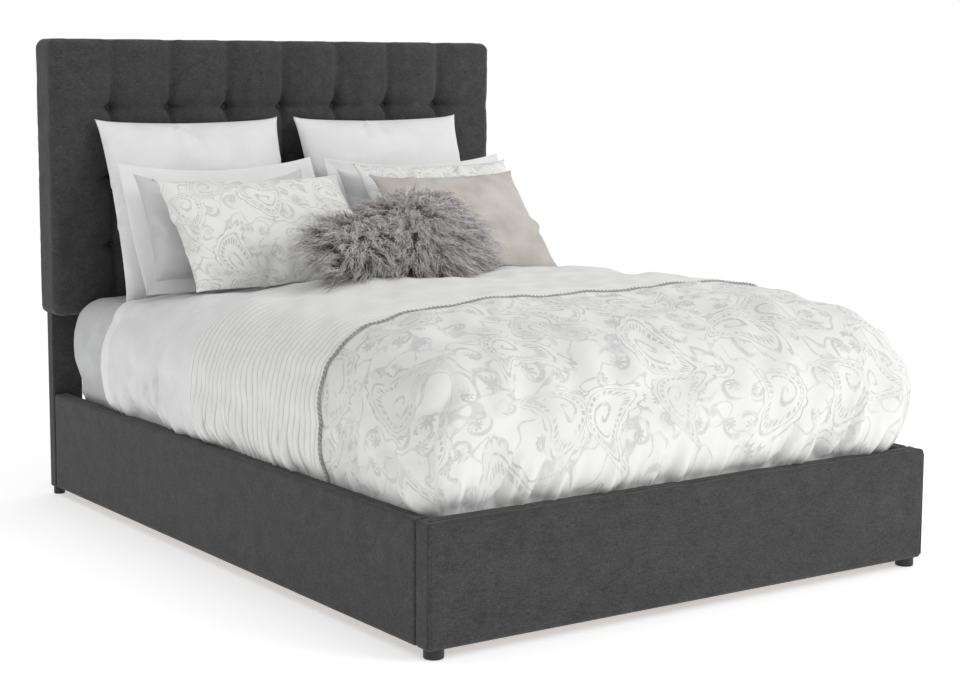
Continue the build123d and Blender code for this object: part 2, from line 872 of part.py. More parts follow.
def comforter():
    """The padded comforter as one closed shell over the mattress."""
    plan = block(
        (-comforter_half_width, comforter_half_width),
        (foot_face + foot_belly, comforter_head),
        everywhere,
    )
    plan = fillet(plan.edges().filter_by(Axis.Z).group_by(Axis.Y)[0], comforter_corner)
    outer = comforter_lengthwise() & comforter_side_outline() & plan
    room = sheet_thick + comforter_gap
    inside = mattress_form(room)
    below = block(
        (-mattress_width / 2 - room, mattress_width / 2 + room),
        (mattress_foot - room, everywhere[1]),
        (everywhere[0], mattress_base + mattress_rim + comforter_inner_rise),
    )
    below = fillet(below.edges().filter_by(Axis.Z).group_by(Axis.Y)[0], mattress_corner + room)
    return {"comforter": outer - inside - below}


# ---------------------------------------------------------------- pillows
def lens(length, front, back):
    """A crowned outline: length across, front and back are how far each side stands out."""
    half = length / 2
    edge = pillow_edge
    return make_face(
        [
            ThreePointArc((-half, -edge), (0, -front), (half, -edge)),
            Line((half, -edge), (half, edge)),
            ThreePointArc((half, edge), (0, back), (-half, edge)),
            Line((-half, edge), (-half, -edge)),
        ]
    )


def pillow(width, height, front, back, centre_x, from_foot, low, lean, turn):
    """A stuffed pillow that stands on its long edge and leans back.

    Its lower edge is at centre_x, from_foot behind the foot rail's face and at height low.
    """
    across = extrude(lens(width, front, back), height)
    upright = Plane(origin=(-width / 2, 0, height / 2), x_dir=(0, 0, 1), z_dir=(1, 0, 0))
    # The upright plane's own Y runs to -Y, so front and back change places on it.
    along = extrude(upright * lens(height, back, front), width)
    form = across & along
    return Pos(centre_x, foot_face + from_foot, low) * Rot(-lean, 0, turn) * form


def bedding():
    """Box spring, mattress, sheet, comforter and pillows."""
    parts = {**box_spring(), **mattress(), **comforter()}
    for name, sizes in pillows.items():
        parts[name] = pillow(*sizes)
    return parts


def main():
    os.makedirs("parts", exist_ok=True)
    parts = {**headboard(), **rails(), **support(), **fasteners(), **bedding()}
    for name, shape in parts.items():
        export_step(shape, f"parts/{name}.step")
    print(len(parts), "nodes")


main()
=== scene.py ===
import json
import math
from collections import namedtuple

import bpy
import numpy as np
from mathutils import Matrix, Vector
from mathutils.bvhtree import BVHTree


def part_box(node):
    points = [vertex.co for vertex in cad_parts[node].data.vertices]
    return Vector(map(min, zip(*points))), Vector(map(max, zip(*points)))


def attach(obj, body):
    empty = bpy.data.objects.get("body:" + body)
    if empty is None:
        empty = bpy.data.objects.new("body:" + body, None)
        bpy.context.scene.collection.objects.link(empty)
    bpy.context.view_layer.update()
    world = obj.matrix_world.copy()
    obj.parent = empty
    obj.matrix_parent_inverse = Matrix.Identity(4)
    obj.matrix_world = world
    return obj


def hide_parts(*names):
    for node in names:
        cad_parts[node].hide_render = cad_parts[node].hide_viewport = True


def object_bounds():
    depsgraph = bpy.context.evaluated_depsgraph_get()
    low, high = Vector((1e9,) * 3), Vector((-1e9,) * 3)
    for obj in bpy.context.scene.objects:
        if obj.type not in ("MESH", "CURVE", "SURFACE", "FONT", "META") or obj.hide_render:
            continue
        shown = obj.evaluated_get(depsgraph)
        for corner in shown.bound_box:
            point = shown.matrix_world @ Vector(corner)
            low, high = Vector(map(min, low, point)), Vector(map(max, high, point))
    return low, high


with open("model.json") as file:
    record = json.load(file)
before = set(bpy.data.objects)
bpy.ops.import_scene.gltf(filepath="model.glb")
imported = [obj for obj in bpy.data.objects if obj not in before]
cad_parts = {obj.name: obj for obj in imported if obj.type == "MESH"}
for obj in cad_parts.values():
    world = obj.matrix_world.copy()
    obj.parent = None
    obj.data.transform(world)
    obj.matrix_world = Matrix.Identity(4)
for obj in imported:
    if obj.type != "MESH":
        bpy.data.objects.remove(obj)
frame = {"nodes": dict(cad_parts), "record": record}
cad_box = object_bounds()

# The looks of a queen-size upholstered bed, built round its CAD frame, in metres and in the frame's
# axes: +X is the right side seen from the foot, +Y points to the headboard, and +Z is up.

# ---------------------------------------------------------------- places read from the frame
foot_face = cad_box[0].y
rail_low, rail_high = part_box("foot_rail_cover")[0].z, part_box("foot_rail_cover")[1].z
half_frame, foot_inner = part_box("foot_rail_cover")[1].x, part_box("foot_rail_cover")[1].y
rail_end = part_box("side_rail_cover_right")[1].y
panel_low, panel_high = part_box("headboard_cover")
mattress_low, mattress_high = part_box("mattress")
comforter_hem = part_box("comforter")[0].z
comforter_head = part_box("comforter")[1].y - foot_face

# ---------------------------------------------------------------- sizes of the looks
tuft_columns, tuft_rows = 8, 4
tuft_pitch = 0.207
tuft_row_pitch = (panel_high.z - panel_low.z) / tuft_rows
first_tuft_x = -tuft_columns / 2 * tuft_pitch
button_radius = 0.012
button_sunk = 0.057  # from the cover's highest plane to a button's top
seam_inset = 0.024  # from a rail's outer face to the seam along its top

# The comforter's zones, as distances along it from the foot rail's face.
piping_at = 0.527
pleats_end = 1.215
pleat = 0.0252
hem_band = 0.048
# The pleats show down the sides, and over the top only near the piping.
pleats_fade = (0.58, 0.76)  # from the bed's middle
pleats_near_piping = (6.0, 3.0)  # a count of pleats

half_mattress = 0.752
surround_light = 0.62
floor_glow = 0.44


# ---------------------------------------------------------------- small tools
def smooth(edge0, edge1, value):
    """0 below edge0, 1 above edge1 and a smooth step between."""
    t = np.clip((value - edge0) / (edge1 - edge0), 0, 1)
    return t * t * (3 - 2 * t)


def bump(distance, width):
    """A bell curve of height 1."""
    return np.exp(-((distance / width) ** 2))


def ripples(seed, shortest, longest, count=14):
    """A smooth random field of the given wavelengths, as a function of two coordinates."""
    rng = np.random.default_rng(seed)
    length = np.exp(rng.uniform(math.log(shortest), math.log(longest), count))
    angle = rng.uniform(0, 2 * math.pi, count)
    phase = rng.uniform(0, 2 * math.pi, count)

    def field(a, b):
        total = 0
        for i in range(count):
            along = a * math.cos(angle[i]) + b * math.sin(angle[i])
            total = total + np.sin(2 * math.pi * along / length[i] + phase[i])
        return total / math.sqrt(count / 2)

    return field


def spread(*stops):
    """Grid lines: stops are place, spacing, place, spacing ... place."""
    lines = [stops[0]]
    for start, step, end in zip(stops[0::2], stops[1::2], stops[2::2]):
        count = max(1, round(abs(end - start) / step))
        lines += [start + (end - start) * (i + 1) / count for i in range(count)]
    return lines


def link(name, verts, faces, materials=()):
    """A new smooth-shaded mesh object."""
    mesh = bpy.data.meshes.new(name)
    mesh.from_pydata([tuple(v) for v in verts], [], faces)
    mesh.polygons.foreach_set("use_smooth", [True] * len(mesh.polygons))
    for item in materials:
        mesh.materials.append(item)
    piece = bpy.data.objects.new(name, mesh)
    bpy.context.scene.collection.objects.link(piece)
    return piece


def shell(xs, ys, zs, leave_out=()):
    """Vertices and quads of a box's skin, with grid lines at xs, ys and zs. leave_out names sides."""
    index, verts, faces = {}, [], []

    def corner(i, j, k):
        if (i, j, k) not in index:
            index[i, j, k] = len(verts)
            verts.append((xs[i], ys[j], zs[k]))
        return index[i, j, k]

    ends = {"-x": 0, "+x": len(xs) - 1, "-y": 0, "+y": len(ys) - 1, "-z": 0, "+z": len(zs) - 1}
    counts = {"x": len(xs), "y": len(ys), "z": len(zs)}
    for side, end in ends.items():
        if side in leave_out:
            continue
        a, b = {"x": "yz", "y": "zx", "z": "xy"}[side[1]]
        for p in range(counts[a] - 1):
            for q in range(counts[b] - 1):
                quad = []
                for dp, dq in ((0, 0), (1, 0), (1, 1), (0, 1)):
                    at = {side[1]: end, a: p + dp, b: q + dq}
                    quad.append(corner(at["x"], at["y"], at["z"]))
                faces.append(quad if side[0] == "+" else quad[::-1])
    return np.array(verts), faces


def rounded(points, low, high, radius):
    """Moves points of a box's skin onto the same box with rounded edges, and gives the normals."""
    low, high = np.array(low) + radius, np.array(high) - radius
    core = np.clip(points, low, high)
    out = points - core
    length = np.linalg.norm(out, axis=1, keepdims=True)
    reach = np.abs(out).max(axis=1, keepdims=True)
    normal = np.divide(out, length, out=np.zeros_like(out), where=length > 1e-9)
    return core + normal * reach, normal


def tube(name, path, radius, closed=False, sides=8, material=None):
    """A round tube along a list of points."""
    path = np.array(path, float)
    count = len(path)
    ahead = np.roll(path, -1, axis=0) - np.roll(path, 1, axis=0)
    if not closed:
        ahead[0], ahead[-1] = path[1] - path[0], path[-1] - path[-2]
    verts, faces = [], []
    side = Vector((0.13, 0.27, 0.95))
    for point, way in zip(path, ahead):
        way = Vector(way).normalized()
        side = (side - way * side.dot(way)).normalized()
        other = way.cross(side)
        for k in range(sides):
            turn = 2 * math.pi * k / sides
            verts.append(Vector(point) + (side * math.cos(turn) + other * math.sin(turn)) * radius)
    for i in range(count if closed else count - 1):
        for k in range(sides):
            a, b = i * sides + k, i * sides + (k + 1) % sides
            c, d = ((i + 1) % count) * sides + (k + 1) % sides, ((i + 1) % count) * sides + k
            faces.append((a, b, c, d))
    if not closed:
        faces.append(tuple(range(sides))[::-1])
        faces.append(tuple((count - 1) * sides + k for k in range(sides)))
    return link(name, verts, faces, [material] if material else [])


def settle(piece, body, nodes=()):
    """Rides a finished piece on its body and hides the parts that it stands for."""
    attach(piece, body)
    if nodes:
        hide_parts(*nodes)


def tag(piece, name, values):
    """Stores a vector per vertex, which materials read."""
    attribute = piece.data.attributes.new(name, "FLOAT_VECTOR", "POINT")
    attribute.data.foreach_set("vector", np.array(values, np.float32).ravel())


# ---------------------------------------------------------------- materials
class Value:
    """A number that a node gives out. Sums of values make the nodes for them."""

    def __init__(self, nodes, socket):
        self.nodes, self.socket = nodes, socket

    def __add__(self, other):
        return self.nodes.math("ADD", self, other)

    def __sub__(self, other):
        return self.nodes.math("SUBTRACT", self, other)

    def __rsub__(self, other):
        return self.nodes.math("SUBTRACT", other, self)

    def __mul__(self, other):
        return self.nodes.math("MULTIPLY", self, other)

    def __truediv__(self, other):
        return self.nodes.math("DIVIDE", self, other)

    def __abs__(self):
        return self.nodes.math("ABSOLUTE", self)


class Nodes:
    """A material's node tree, with short calls for the nodes used here."""

    def __init__(self, name):
        self.material = bpy.data.materials.new(name)
        self.material.use_nodes = True
        self.tree = self.material.node_tree
        self.shader = self.tree.nodes["Principled BSDF"]

    def node(self, kind, **settings):
        made = self.tree.nodes.new(kind)
        for key, value in settings.items():
            setattr(made, key, value)
        return made

    def plug(self, source, socket):
        """Links a value or a socket, or sets a number or a colour."""
        if isinstance(source, Value):
            source = source.socket
        if isinstance(source, tuple) and len(socket.default_value) == 4:
            source = (*source, 1)
        if isinstance(source, (int, float, tuple)):
            socket.default_value = source
        else:
            self.tree.links.new(source, socket)

    def place(self):
        return self.node("ShaderNodeTexCoord").outputs["Object"]

    def stored(self, name):
        return self.node("ShaderNodeAttribute", attribute_name=name).outputs["Vector"]

    def stretch(self, vector, scale):
        made = self.node("ShaderNodeMapping")
        self.plug(vector, made.inputs["Vector"])
        made.inputs["Scale"].default_value = scale
        return made.outputs["Vector"]

    def noise(self, vector, scale, detail=2.0, rough=0.5):
        made = self.node("ShaderNodeTexNoise")
        self.plug(vector, made.inputs["Vector"])
        made.inputs["Scale"].default_value = scale
        made.inputs["Detail"].default_value = detail
        made.inputs["Roughness"].default_value = rough
        return Value(self, made.outputs["Fac"])

    def math(self, kind, a, b=0.0):
        made = self.node("ShaderNodeMath", operation=kind)
        self.plug(a, made.inputs[0])
        self.plug(b, made.inputs[1])
        return Value(self, made.outputs[0])

    def largest(self, *values):
        """The largest of some values."""
        most = values[0]
        for value in values[1:]:
            most = self.math("MAXIMUM", most, value)
        return most

    def vector(self, kind, a, b):
        made = self.node("ShaderNodeVectorMath", operation=kind)
        self.plug(a, made.inputs[0])
        self.plug(b, made.inputs[1])
        return made.outputs["Vector"]

    def parts(self, vector):
        made = self.node("ShaderNodeSeparateXYZ")
        self.plug(vector, made.inputs[0])
        return [Value(self, socket) for socket in made.outputs]

    def ramp(self, value, *stops):
        made = self.node("ShaderNodeValToRGB")
        self.plug(value, made.inputs[0])
        elements = made.color_ramp.elements
        while len(elements) < len(stops):
            elements.new(0.5)
        for element, (position, colour) in zip(elements, stops):
            element.position = position
            element.color = (*colour, 1)
        return made.outputs["Color"]

    def fade(self, value, low, high):
        """0 below low, 1 above high."""
        made = self.node("ShaderNodeMapRange", interpolation_type="SMOOTHSTEP")
        self.plug(value, made.inputs["Value"])
        made.inputs["From Min"].default_value = low
        made.inputs["From Max"].default_value = high
        return Value(self, made.outputs["Result"])

    def mix(self, amount, a, b):
        """A colour between a and b."""
        made = self.node("ShaderNodeMix", data_type="RGBA")
        for source, number in ((amount, 0), (a, 6), (b, 7)):
            self.plug(source, made.inputs[number])
        return made.outputs[2]

    def relief(self, height, distance, strength=1.0, under=None):
        made = self.node("ShaderNodeBump")
        self.plug(height, made.inputs["Height"])
        made.inputs["Distance"].default_value = distance
        made.inputs["Strength"].default_value = strength
        if under is not None:
            self.plug(under, made.inputs["Normal"])
        return made.outputs["Normal"]

    def finish(self, colour, roughness, normal=None, sheen=0.0, metallic=0.0):
        self.plug(colour, self.shader.inputs["Base Color"])
        self.plug(roughness, self.shader.inputs["Roughness"])
        self.shader.inputs["Metallic"].default_value = metallic
        self.shader.inputs["Sheen Weight"].default_value = sheen
        self.shader.inputs["Sheen Roughness"].default_value = 0.5
        if normal is not None:
            self.plug(normal, self.shader.inputs["Normal"])
        return self.material


def charcoal_weave():
    """Dark grey upholstery cloth: two sets of slubby threads with light and dark flecks."""
    n = Nodes("charcoal_weave")
    place = n.place()
    weft = n.noise(n.stretch(place, (90, 90, 900)), 1.0, 3.0, 0.6)
    warp = n.noise(n.stretch(place, (900, 900, 110)), 1.0, 3.0, 0.6)
    thread = weft + warp
    mottle = n.noise(place, 22.0, 3.0, 0.6)
    colour = n.ramp(
        thread * 0.42 + mottle * 0.16,
        (0.40, (0.017, 0.0172, 0.018)),
        (0.50, (0.040, 0.0403, 0.0415)),
        (0.58, (0.060, 0.0603, 0.0615)),
        (0.68, (0.120, 0.1205, 0.1225)),
    )
    return n.finish(colour, 0.92, n.relief(thread, 0.0012, 0.7), sheen=0.12)


def cloth_relief(n, thread, strength, crease, depth, wrinkle):
    """The bump of a cloth: its threads over its small creases."""
    return n.relief(thread, 0.0003, strength, n.relief(crease, depth, wrinkle))


def cotton(name, colour, shade, wrinkle=0.5, sheen=0.1):
    """Plain woven cotton with a fine thread relief and small creases, and painted shade in the creases' hollows.
    """
    n = Nodes(name)
    place = n.place()
    crease = n.noise(place, 11.0, 4.0, 0.55)
    weft = n.noise(n.stretch(place, (300, 300, 1800)), 1.0, 1.0)
    warp = n.noise(n.stretch(place, (1800, 1800, 300)), 1.0, 1.0)
    # painted shade: where the crease relief is low, the colour goes toward the shade colour
    tint = n.mix(n.fade(crease, 0.3, 0.7), shade, colour)
    normal = cloth_relief(n, weft + warp, 0.5, crease, 0.006, wrinkle)
    return n.finish(tint, 0.85, normal, sheen=sheen)


def fine_cotton(n, tint, crease, depth, wrinkle):
    """Finishes a material as cotton with an even fine thread."""
    thread = n.noise(n.stretch(n.place(), (900, 900, 900)), 1.0, 1.0)
    return n.finish(tint, 0.85, cloth_relief(n, thread, 0.4, crease, depth, wrinkle), sheen=0.1)


def pleated_cotton():
    """White cotton with painted shade in the grooves between its stitched pleats and in the hollows of its
    creases.
    """
    n = Nodes("comforter_pleats")
    across, along, _ = n.parts(n.stored("flat"))
    phase = (along - piping_at) / pleat
    groove = n.fade(abs(n.math("FRACT", phase) - 0.5), 0.37, 0.49)
    shown = n.largest(n.fade(abs(across), *pleats_fade), n.fade(phase, *pleats_near_piping))
    crease = n.noise(n.place(), 11.0, 4.0, 0.55)
    # painted shade: darker where the crease relief is low
    crease_shaded = n.mix(n.fade(crease, 0.3, 0.7), (0.79, 0.79, 0.775), (0.84, 0.84, 0.825))
    # painted shade: a grey line along each pleat's groove, where the pleats show
    tint = n.mix(groove * shown * 0.7, crease_shaded, (0.46, 0.46, 0.44))
    return fine_cotton(n, tint, crease, 0.004, 0.4)


def scroll_cells(n, flat, size, shift):
    """Scattered cells over the cloth: a point's place in its cell, turned at random, and three picks."""
    moved = n.vector("ADD", flat, (shift * 0.37, shift * 0.61, 0.0))
    cells = n.node("ShaderNodeTexVoronoi", voronoi_dimensions="2D", feature="F1")
    n.plug(moved, cells.inputs["Vector"])
    cells.inputs["Scale"].default_value = 1 / size
    cells.inputs["Randomness"].default_value = 0.72
    local = n.vector("SUBTRACT", moved, cells.outputs["Position"])
    local = n.vector("MULTIPLY", local, (1 / size, 1 / size, 0.0))
    picks = n.parts(cells.outputs["Color"])
    rotate = n.node("ShaderNodeVectorRotate", rotation_type="Z_AXIS")
    n.plug(local, rotate.inputs["Vector"])
    n.plug(picks[0] * 6.28, rotate.inputs["Angle"])
    x, y, _ = n.parts(rotate.outputs[0])
    return x, y, picks


def curled_drop(n, x, y, bend):
    """How far a point is from the middle of a drop with a curled tip, 1 on its outline, and its angle."""
    x, y = x * 2.1, y * 2.1
    x = x + y * y * bend - bend * 0.3
    across = x / n.largest(0.62 - y * 0.36, 0.14)
    return n.math("SQRT", across * across + y * y), n.math("ARCTAN2", across, y)


def outline(n, level, place, width):
    """1 along the line where a level has the given value, and 0 away from it."""
    return n.fade(abs(level - place), width, width * 0.35)


def waves(n, angle, count):
    """From 0 to 1 and back, twice count times round a turn."""
    return abs(n.math("SINE", angle * count))


def drop_print(n, flat, scale):
    """Curled drops with scalloped bands and spirals: their ink, their inside, and a pick for each."""
    x, y, picks = scroll_cells(n, flat, 0.235 * scale, 1.0)
    level, angle = curled_drop(n, x, y, 0.8)
    frill = level - waves(n, angle, 9.0) * 0.09
    petals = n.fade(waves(n, angle, 14.0), 0.25, 0.75) * outline(n, level, 0.70, 0.11)
    curls = n.fade(n.math("SINE", level * 15.0 + angle), 0.45, 0.95) * n.fade(level, 0.55, 0.5)
    ink = n.largest(outline(n, frill, 1.0, 0.05), outline(n, level, 0.86, 0.035), petals, curls)
    return ink * n.fade(frill, 1.08, 1.03), n.fade(frill, 1.0, 0.985), picks[1]


def ground_print(n, flat, scale, outside):
    """Tendrils, sprigs and vines between the drops: their ink, and a shade behind some of them."""
    x, y, picks = scroll_cells(n, flat, 0.098 * scale, 3.0)
    radius = n.math("SQRT", x * x + y * y)
    turn = n.math("ARCTAN2", x, y)
    wind = n.math("SINE", turn + n.math("LOGARITHM", radius, 2.718) * 3.4)
    tendril = n.fade(wind, 0.62, 0.93) * n.fade(radius, 0.52, 0.40)
    sprig = n.fade(radius - waves(n, turn, 4.0) * 0.17, 0.04, 0.015)
    vine = outline(n, n.noise(flat, 9.0 / scale, 1.0), 0.5, 0.022)
    ink = n.largest(n.largest(tendril, sprig) * outside, vine * outside * 0.8)
    shade = outside * n.fade(picks[1], 0.55, 0.7) * 0.16 * n.fade(radius, 0.42, 0.3)
    return ink, shade


def printed(name, colour, scale=1.0):
    """White cotton with a pale grey print, slightly worn, of drops on a ground of tendrils."""
    n = Nodes(name)
    flat = n.stored("flat")
    wobble = n.node("ShaderNodeTexNoise")
    n.plug(flat, wobble.inputs["Vector"])
    wobble.inputs["Scale"].default_value = 7.0
    shift = n.vector("SUBTRACT", wobble.outputs["Color"], (0.5, 0.5, 0.5))
    flat = n.vector("ADD", flat, n.vector("MULTIPLY", shift, (0.035, 0.035, 0.0)))
    drop, inside, pick = drop_print(n, flat, scale)
    ground, shade = ground_print(n, flat, scale, 1.0 - inside)
    worn = n.fade(n.noise(flat, 26.0, 4.0, 0.65), 0.30, 0.56)
    fine = n.fade(n.noise(flat, 170.0, 2.0, 0.7), 0.30, 0.52)
    ink = n.largest(drop * 0.85, ground * 0.75) * worn * (fine * 0.5 + 0.5)
    wash = inside * n.fade(pick, 0.35, 0.6) * 0.22
    ink = n.largest(ink, wash, shade)
    hue = n.mix(n.fade(n.noise(flat, 5.0, 2.0), 0.42, 0.58), (0.50, 0.50, 0.475), (0.55, 0.55, 0.565))
    crease = n.noise(n.place(), 10.0, 4.0, 0.55)
    return fine_cotton(n, n.mix(ink, colour, hue), crease, 0.005, 0.5)


def satin():
    """Taupe cloth with a soft shine, and painted shade in the hollows of its creases."""
    n = Nodes("taupe_satin")
    place = n.place()
    crease = n.noise(place, 9.0, 3.0, 0.5)
    thread = n.noise(n.stretch(place, (400, 400, 2600)), 1.0, 2.0)
    # painted shade: darker taupe where the crease relief is low
    tint = n.mix(n.fade(crease, 0.3, 0.75), (0.46, 0.42, 0.38), (0.60, 0.565, 0.53))
    return n.finish(tint, 0.5, cloth_relief(n, thread, 0.5, crease, 0.005, 0.5), sheen=0.25)


def fur_coat():
    """Hair, dark and purple-brown at the root and pale at the tip, with greyer and darker locks."""
    n = Nodes("long_fur")
    along, greyness, lightness = n.parts(n.stored("hair"))
    mauve = n.ramp(
        along,
        (0.0, (0.10, 0.05, 0.06)),
        (0.22, (0.30, 0.20, 0.22)),
        (0.45, (0.72, 0.63, 0.64)),
        (1.0, (0.96, 0.92, 0.915)),
    )
    grey = n.ramp(
        along,
        (0.0, (0.24, 0.235, 0.21)),
        (0.4, (0.66, 0.66, 0.63)),
        (1.0, (0.95, 0.95, 0.925)),
    )
    colour = n.mix(lightness * 0.5, n.mix(greyness, mauve, grey), (0.93, 0.90, 0.90))
    streak = n.fade(lightness, 0.24, 0.10) * (0.6 - greyness * 0.5)
    return n.finish(n.mix(streak, colour, (0.30, 0.21, 0.235)), 0.5, sheen=0.35)


def timber(name, light, dark):
    """Planed softwood with long grain."""
    n = Nodes(name)
    grain = n.noise(n.stretch(n.place(), (14, 14, 60)), 1.0, 5.0, 0.6)
    rings = n.node("ShaderNodeTexWave", wave_type="BANDS", bands_direction="Z")
    n.plug(n.stretch(n.place(), (0.6, 0.6, 9)), rings.inputs["Vector"])
    rings.inputs["Scale"].default_value = 3.0
    rings.inputs["Distortion"].default_value = 6.0
    blend = grain * 0.6 + Value(n, rings.outputs["Fac"]) * 0.4
    return n.finish(n.mix(blend, dark, light), 0.6, n.relief(grain, 0.0006, 0.5))


def plain(name, colour, roughness, metallic=0.0, grain=600.0):
    """A moulded or plated surface with a fine grain and slight wear."""
    n = Nodes(name)
    speck = n.noise(n.place(), grain, 2.0)
    wear = n.noise(n.place(), 30.0, 3.0)
    tint = n.mix(n.fade(wear, 0.35, 0.75), colour, tuple(min(1.0, c * 1.25 + 0.004) for c in colour))
    return n.finish(tint, wear * 0.16 + (roughness - 0.08), n.relief(speck, 0.0004, 0.4), metallic=metallic)


looks = {
    "charcoal_weave": charcoal_weave(),
    "backing_cloth": plain("backing_cloth", (0.02, 0.02, 0.021), 0.95, grain=900.0),
    "foam": plain("foam", (0.72, 0.66, 0.45), 0.95, grain=400.0),
    "wadding": plain("wadding", (0.8, 0.8, 0.78), 1.0, grain=120.0),
    "plywood": timber("plywood", (0.55, 0.40, 0.25), (0.40, 0.27, 0.15)),
    "pine": timber("pine", (0.66, 0.48, 0.29), (0.47, 0.31, 0.17)),
    "feet_plastic": plain("feet_plastic", (0.008, 0.008, 0.008), 0.45),
    "zinc_steel": plain("zinc_steel", (0.62, 0.62, 0.60), 0.35, metallic=1.0),
    "black_steel": plain("black_steel", (0.015, 0.015, 0.015), 0.5, metallic=0.3),
    "webbing": plain("webbing", (0.09, 0.09, 0.09), 0.9, grain=300.0),
    # The second colour of each cotton is painted shade, laid in the hollows of its creases.
    "ticking": cotton("ticking", (0.72, 0.71, 0.69), (0.62, 0.61, 0.59)),
    "sheet_cotton": cotton("sheet_cotton", (0.60, 0.602, 0.607), (0.53, 0.532, 0.537)),
    "comforter_plain": cotton("comforter_plain", (0.80, 0.80, 0.805), (0.74, 0.74, 0.745), 0.8),
    "comforter_pleats": pleated_cotton(),
    "comforter_hem": cotton("comforter_hem", (0.86, 0.86, 0.86), (0.82, 0.82, 0.82), 0.3),
    "comforter_cotton": printed("comforter_cotton", (0.81, 0.81, 0.795)),
    "white_cotton": cotton("white_cotton", (0.83, 0.83, 0.83), (0.79, 0.79, 0.79), 0.35),
    "sham_cotton": cotton("sham_cotton", (0.80, 0.80, 0.80), (0.74, 0.74, 0.74), 0.4),
    "sham_centre": cotton("sham_centre", (0.66, 0.66, 0.67), (0.60, 0.60, 0.61), 0.4, 0.3),
    "patterned_cotton": printed("patterned_cotton", (0.84, 0.84, 0.82), scale=0.7),
    "taupe_satin": satin(),
    "long_fur": fur_coat(),
    "piping": plain("piping", (0.37, 0.37, 0.355), 0.7, grain=200.0),
}

slot_of = {row["node"]: row["material_slot"] for row in frame["record"]["subparts"]}
for name, node in frame["nodes"].items():
    node.data.materials.clear()
    node.data.materials.append(looks[slot_of[name]])


# ---------------------------------------------------------------- camera, light and floor
def camera():
    """The photograph's viewpoint: from the foot's left, a little above the headboard's middle."""
    made = bpy.data.cameras.new("camera")
    made.sensor_width = 36.0
    made.lens = 73.53
    made.shift_x = 0.04125
    made.shift_y = -0.0275
    view = bpy.data.objects.new("camera", made)
    bpy.context.scene.collection.objects.link(view)
    view.location = (-3.2494, -4.7668, 1.3628)
    yaw, pitch, roll = math.radians(33.913), math.radians(7.337), 0.002
    turn = Matrix.Rotation(-yaw, 4, "Z") @ Matrix.Rotation(math.pi / 2 - pitch, 4, "X")
    view.rotation_euler = (turn @ Matrix.Rotation(roll, 4, "Z")).to_euler()
    bpy.context.scene.camera = view


def area_light(name, place, target, size, power):
    made = bpy.data.lights.new(name, "AREA")
    made.shape = "SQUARE"
    made.size = size
    made.energy = power
    lamp = bpy.data.objects.new(name, made)
    lamp.location = place
    lamp.rotation_euler = (Vector(target) - Vector(place)).to_track_quat("-Z", "Y").to_euler()
    bpy.context.scene.collection.objects.link(lamp)


def studio():
    """Soft lights, a white surround and a pale floor."""
    world = bpy.data.worlds.new("surround")
    world.use_nodes = True
    tree = world.node_tree
    seen = tree.nodes.new("ShaderNodeLightPath").outputs["Is Camera Ray"]
    level = tree.nodes.new("ShaderNodeMapRange")
    level.inputs["To Min"].default_value = surround_light
    level.inputs["To Max"].default_value = 1.0
    tree.links.new(seen, level.inputs["Value"])
    tree.links.new(level.outputs["Result"], tree.nodes["Background"].inputs["Strength"])
    tree.nodes["Background"].inputs["Color"].default_value = (1, 1, 1, 1)
    bpy.context.scene.world = world
    bpy.context.scene.view_settings.view_transform = "Standard"
    area_light("key", (3.0, -5.2, 3.4), (0, -0.2, 0.5), 3.0, 118)
    area_light("top", (0.3, 0.2, 4.2), (0, 0, 0.5), 4.0, 24)
    reach = 600.0
    floor = link(
        "floor",
        [(-reach, -reach, 0), (reach, -reach, 0), (reach, reach, 0), (-reach, reach, 0)],
        [(0, 1, 2, 3)],
    )
    n = Nodes("pale_floor")
    grain = n.noise(n.place(), 3.0, 3.0)
    paint = n.finish(n.mix(grain, (0.90, 0.90, 0.90), (0.94, 0.94, 0.94)), 0.9)
    n.shader.inputs["Emission Color"].default_value = (1, 1, 1, 1)
    n.shader.inputs["Emission Strength"].default_value = floor_glow
    floor.data.materials.append(paint)


camera()
studio()


# ---------------------------------------------------------------- headboard and rails
def tuft_lines(low, count, pitch, cells):
    """Grid lines that crowd together at each tufting line."""
    crowding = 0.72
    lines = []
    for step in range(count * cells + 1):
        t = step / cells
        part = t - math.floor(t)
        lines.append(low + pitch * (t - crowding * math.sin(2 * math.pi * part) / (2 * math.pi)))
    return lines


def nearest_line(value, low, count, pitch):
    """Signed distance to the nearest inner tufting line."""
    number = np.clip(np.round((value - low) / pitch), 1, count - 1)
    return value - (low + number * pitch)


def tuft_depth(x, z):
    """How far the cover lies below its highest plane, and the upright and level creases alone."""
    u = nearest_line(x, first_tuft_x, tuft_columns, tuft_pitch)
    w = nearest_line(z, panel_low.z, tuft_rows, tuft_row_pitch)
    r = np.hypot(u, w)
    pit_radius, pit_rim, pulled = 0.017, 0.045, 0.075
    near = bump(r, pulled)
    upright = bump(u, 0.010 + 0.007 * (1 - near)) * (0.0095 + 0.0055 * near)
    level = bump(w, 0.008 + 0.015 * (1 - near)) * (0.0028 + 0.0085 * near)
    middle_x = np.cos(math.pi * np.clip(np.abs(u) / tuft_pitch, 0, 0.5)) ** 2
    middle_z = np.cos(math.pi * np.clip(np.abs(w) / tuft_row_pitch, 0, 0.5)) ** 2
    hollow = 0.011 * middle_x + 0.005 * middle_z
    pit = 0.026 * np.exp(-((r / pit_radius) ** 1.6)) + 0.010 * bump(r, pit_rim)
    pulls = ripples(5, 0.035, 0.12)(x, z) * 0.0009 * (0.5 + near)
    return upright + level + hollow + pit + pulls, upright, level


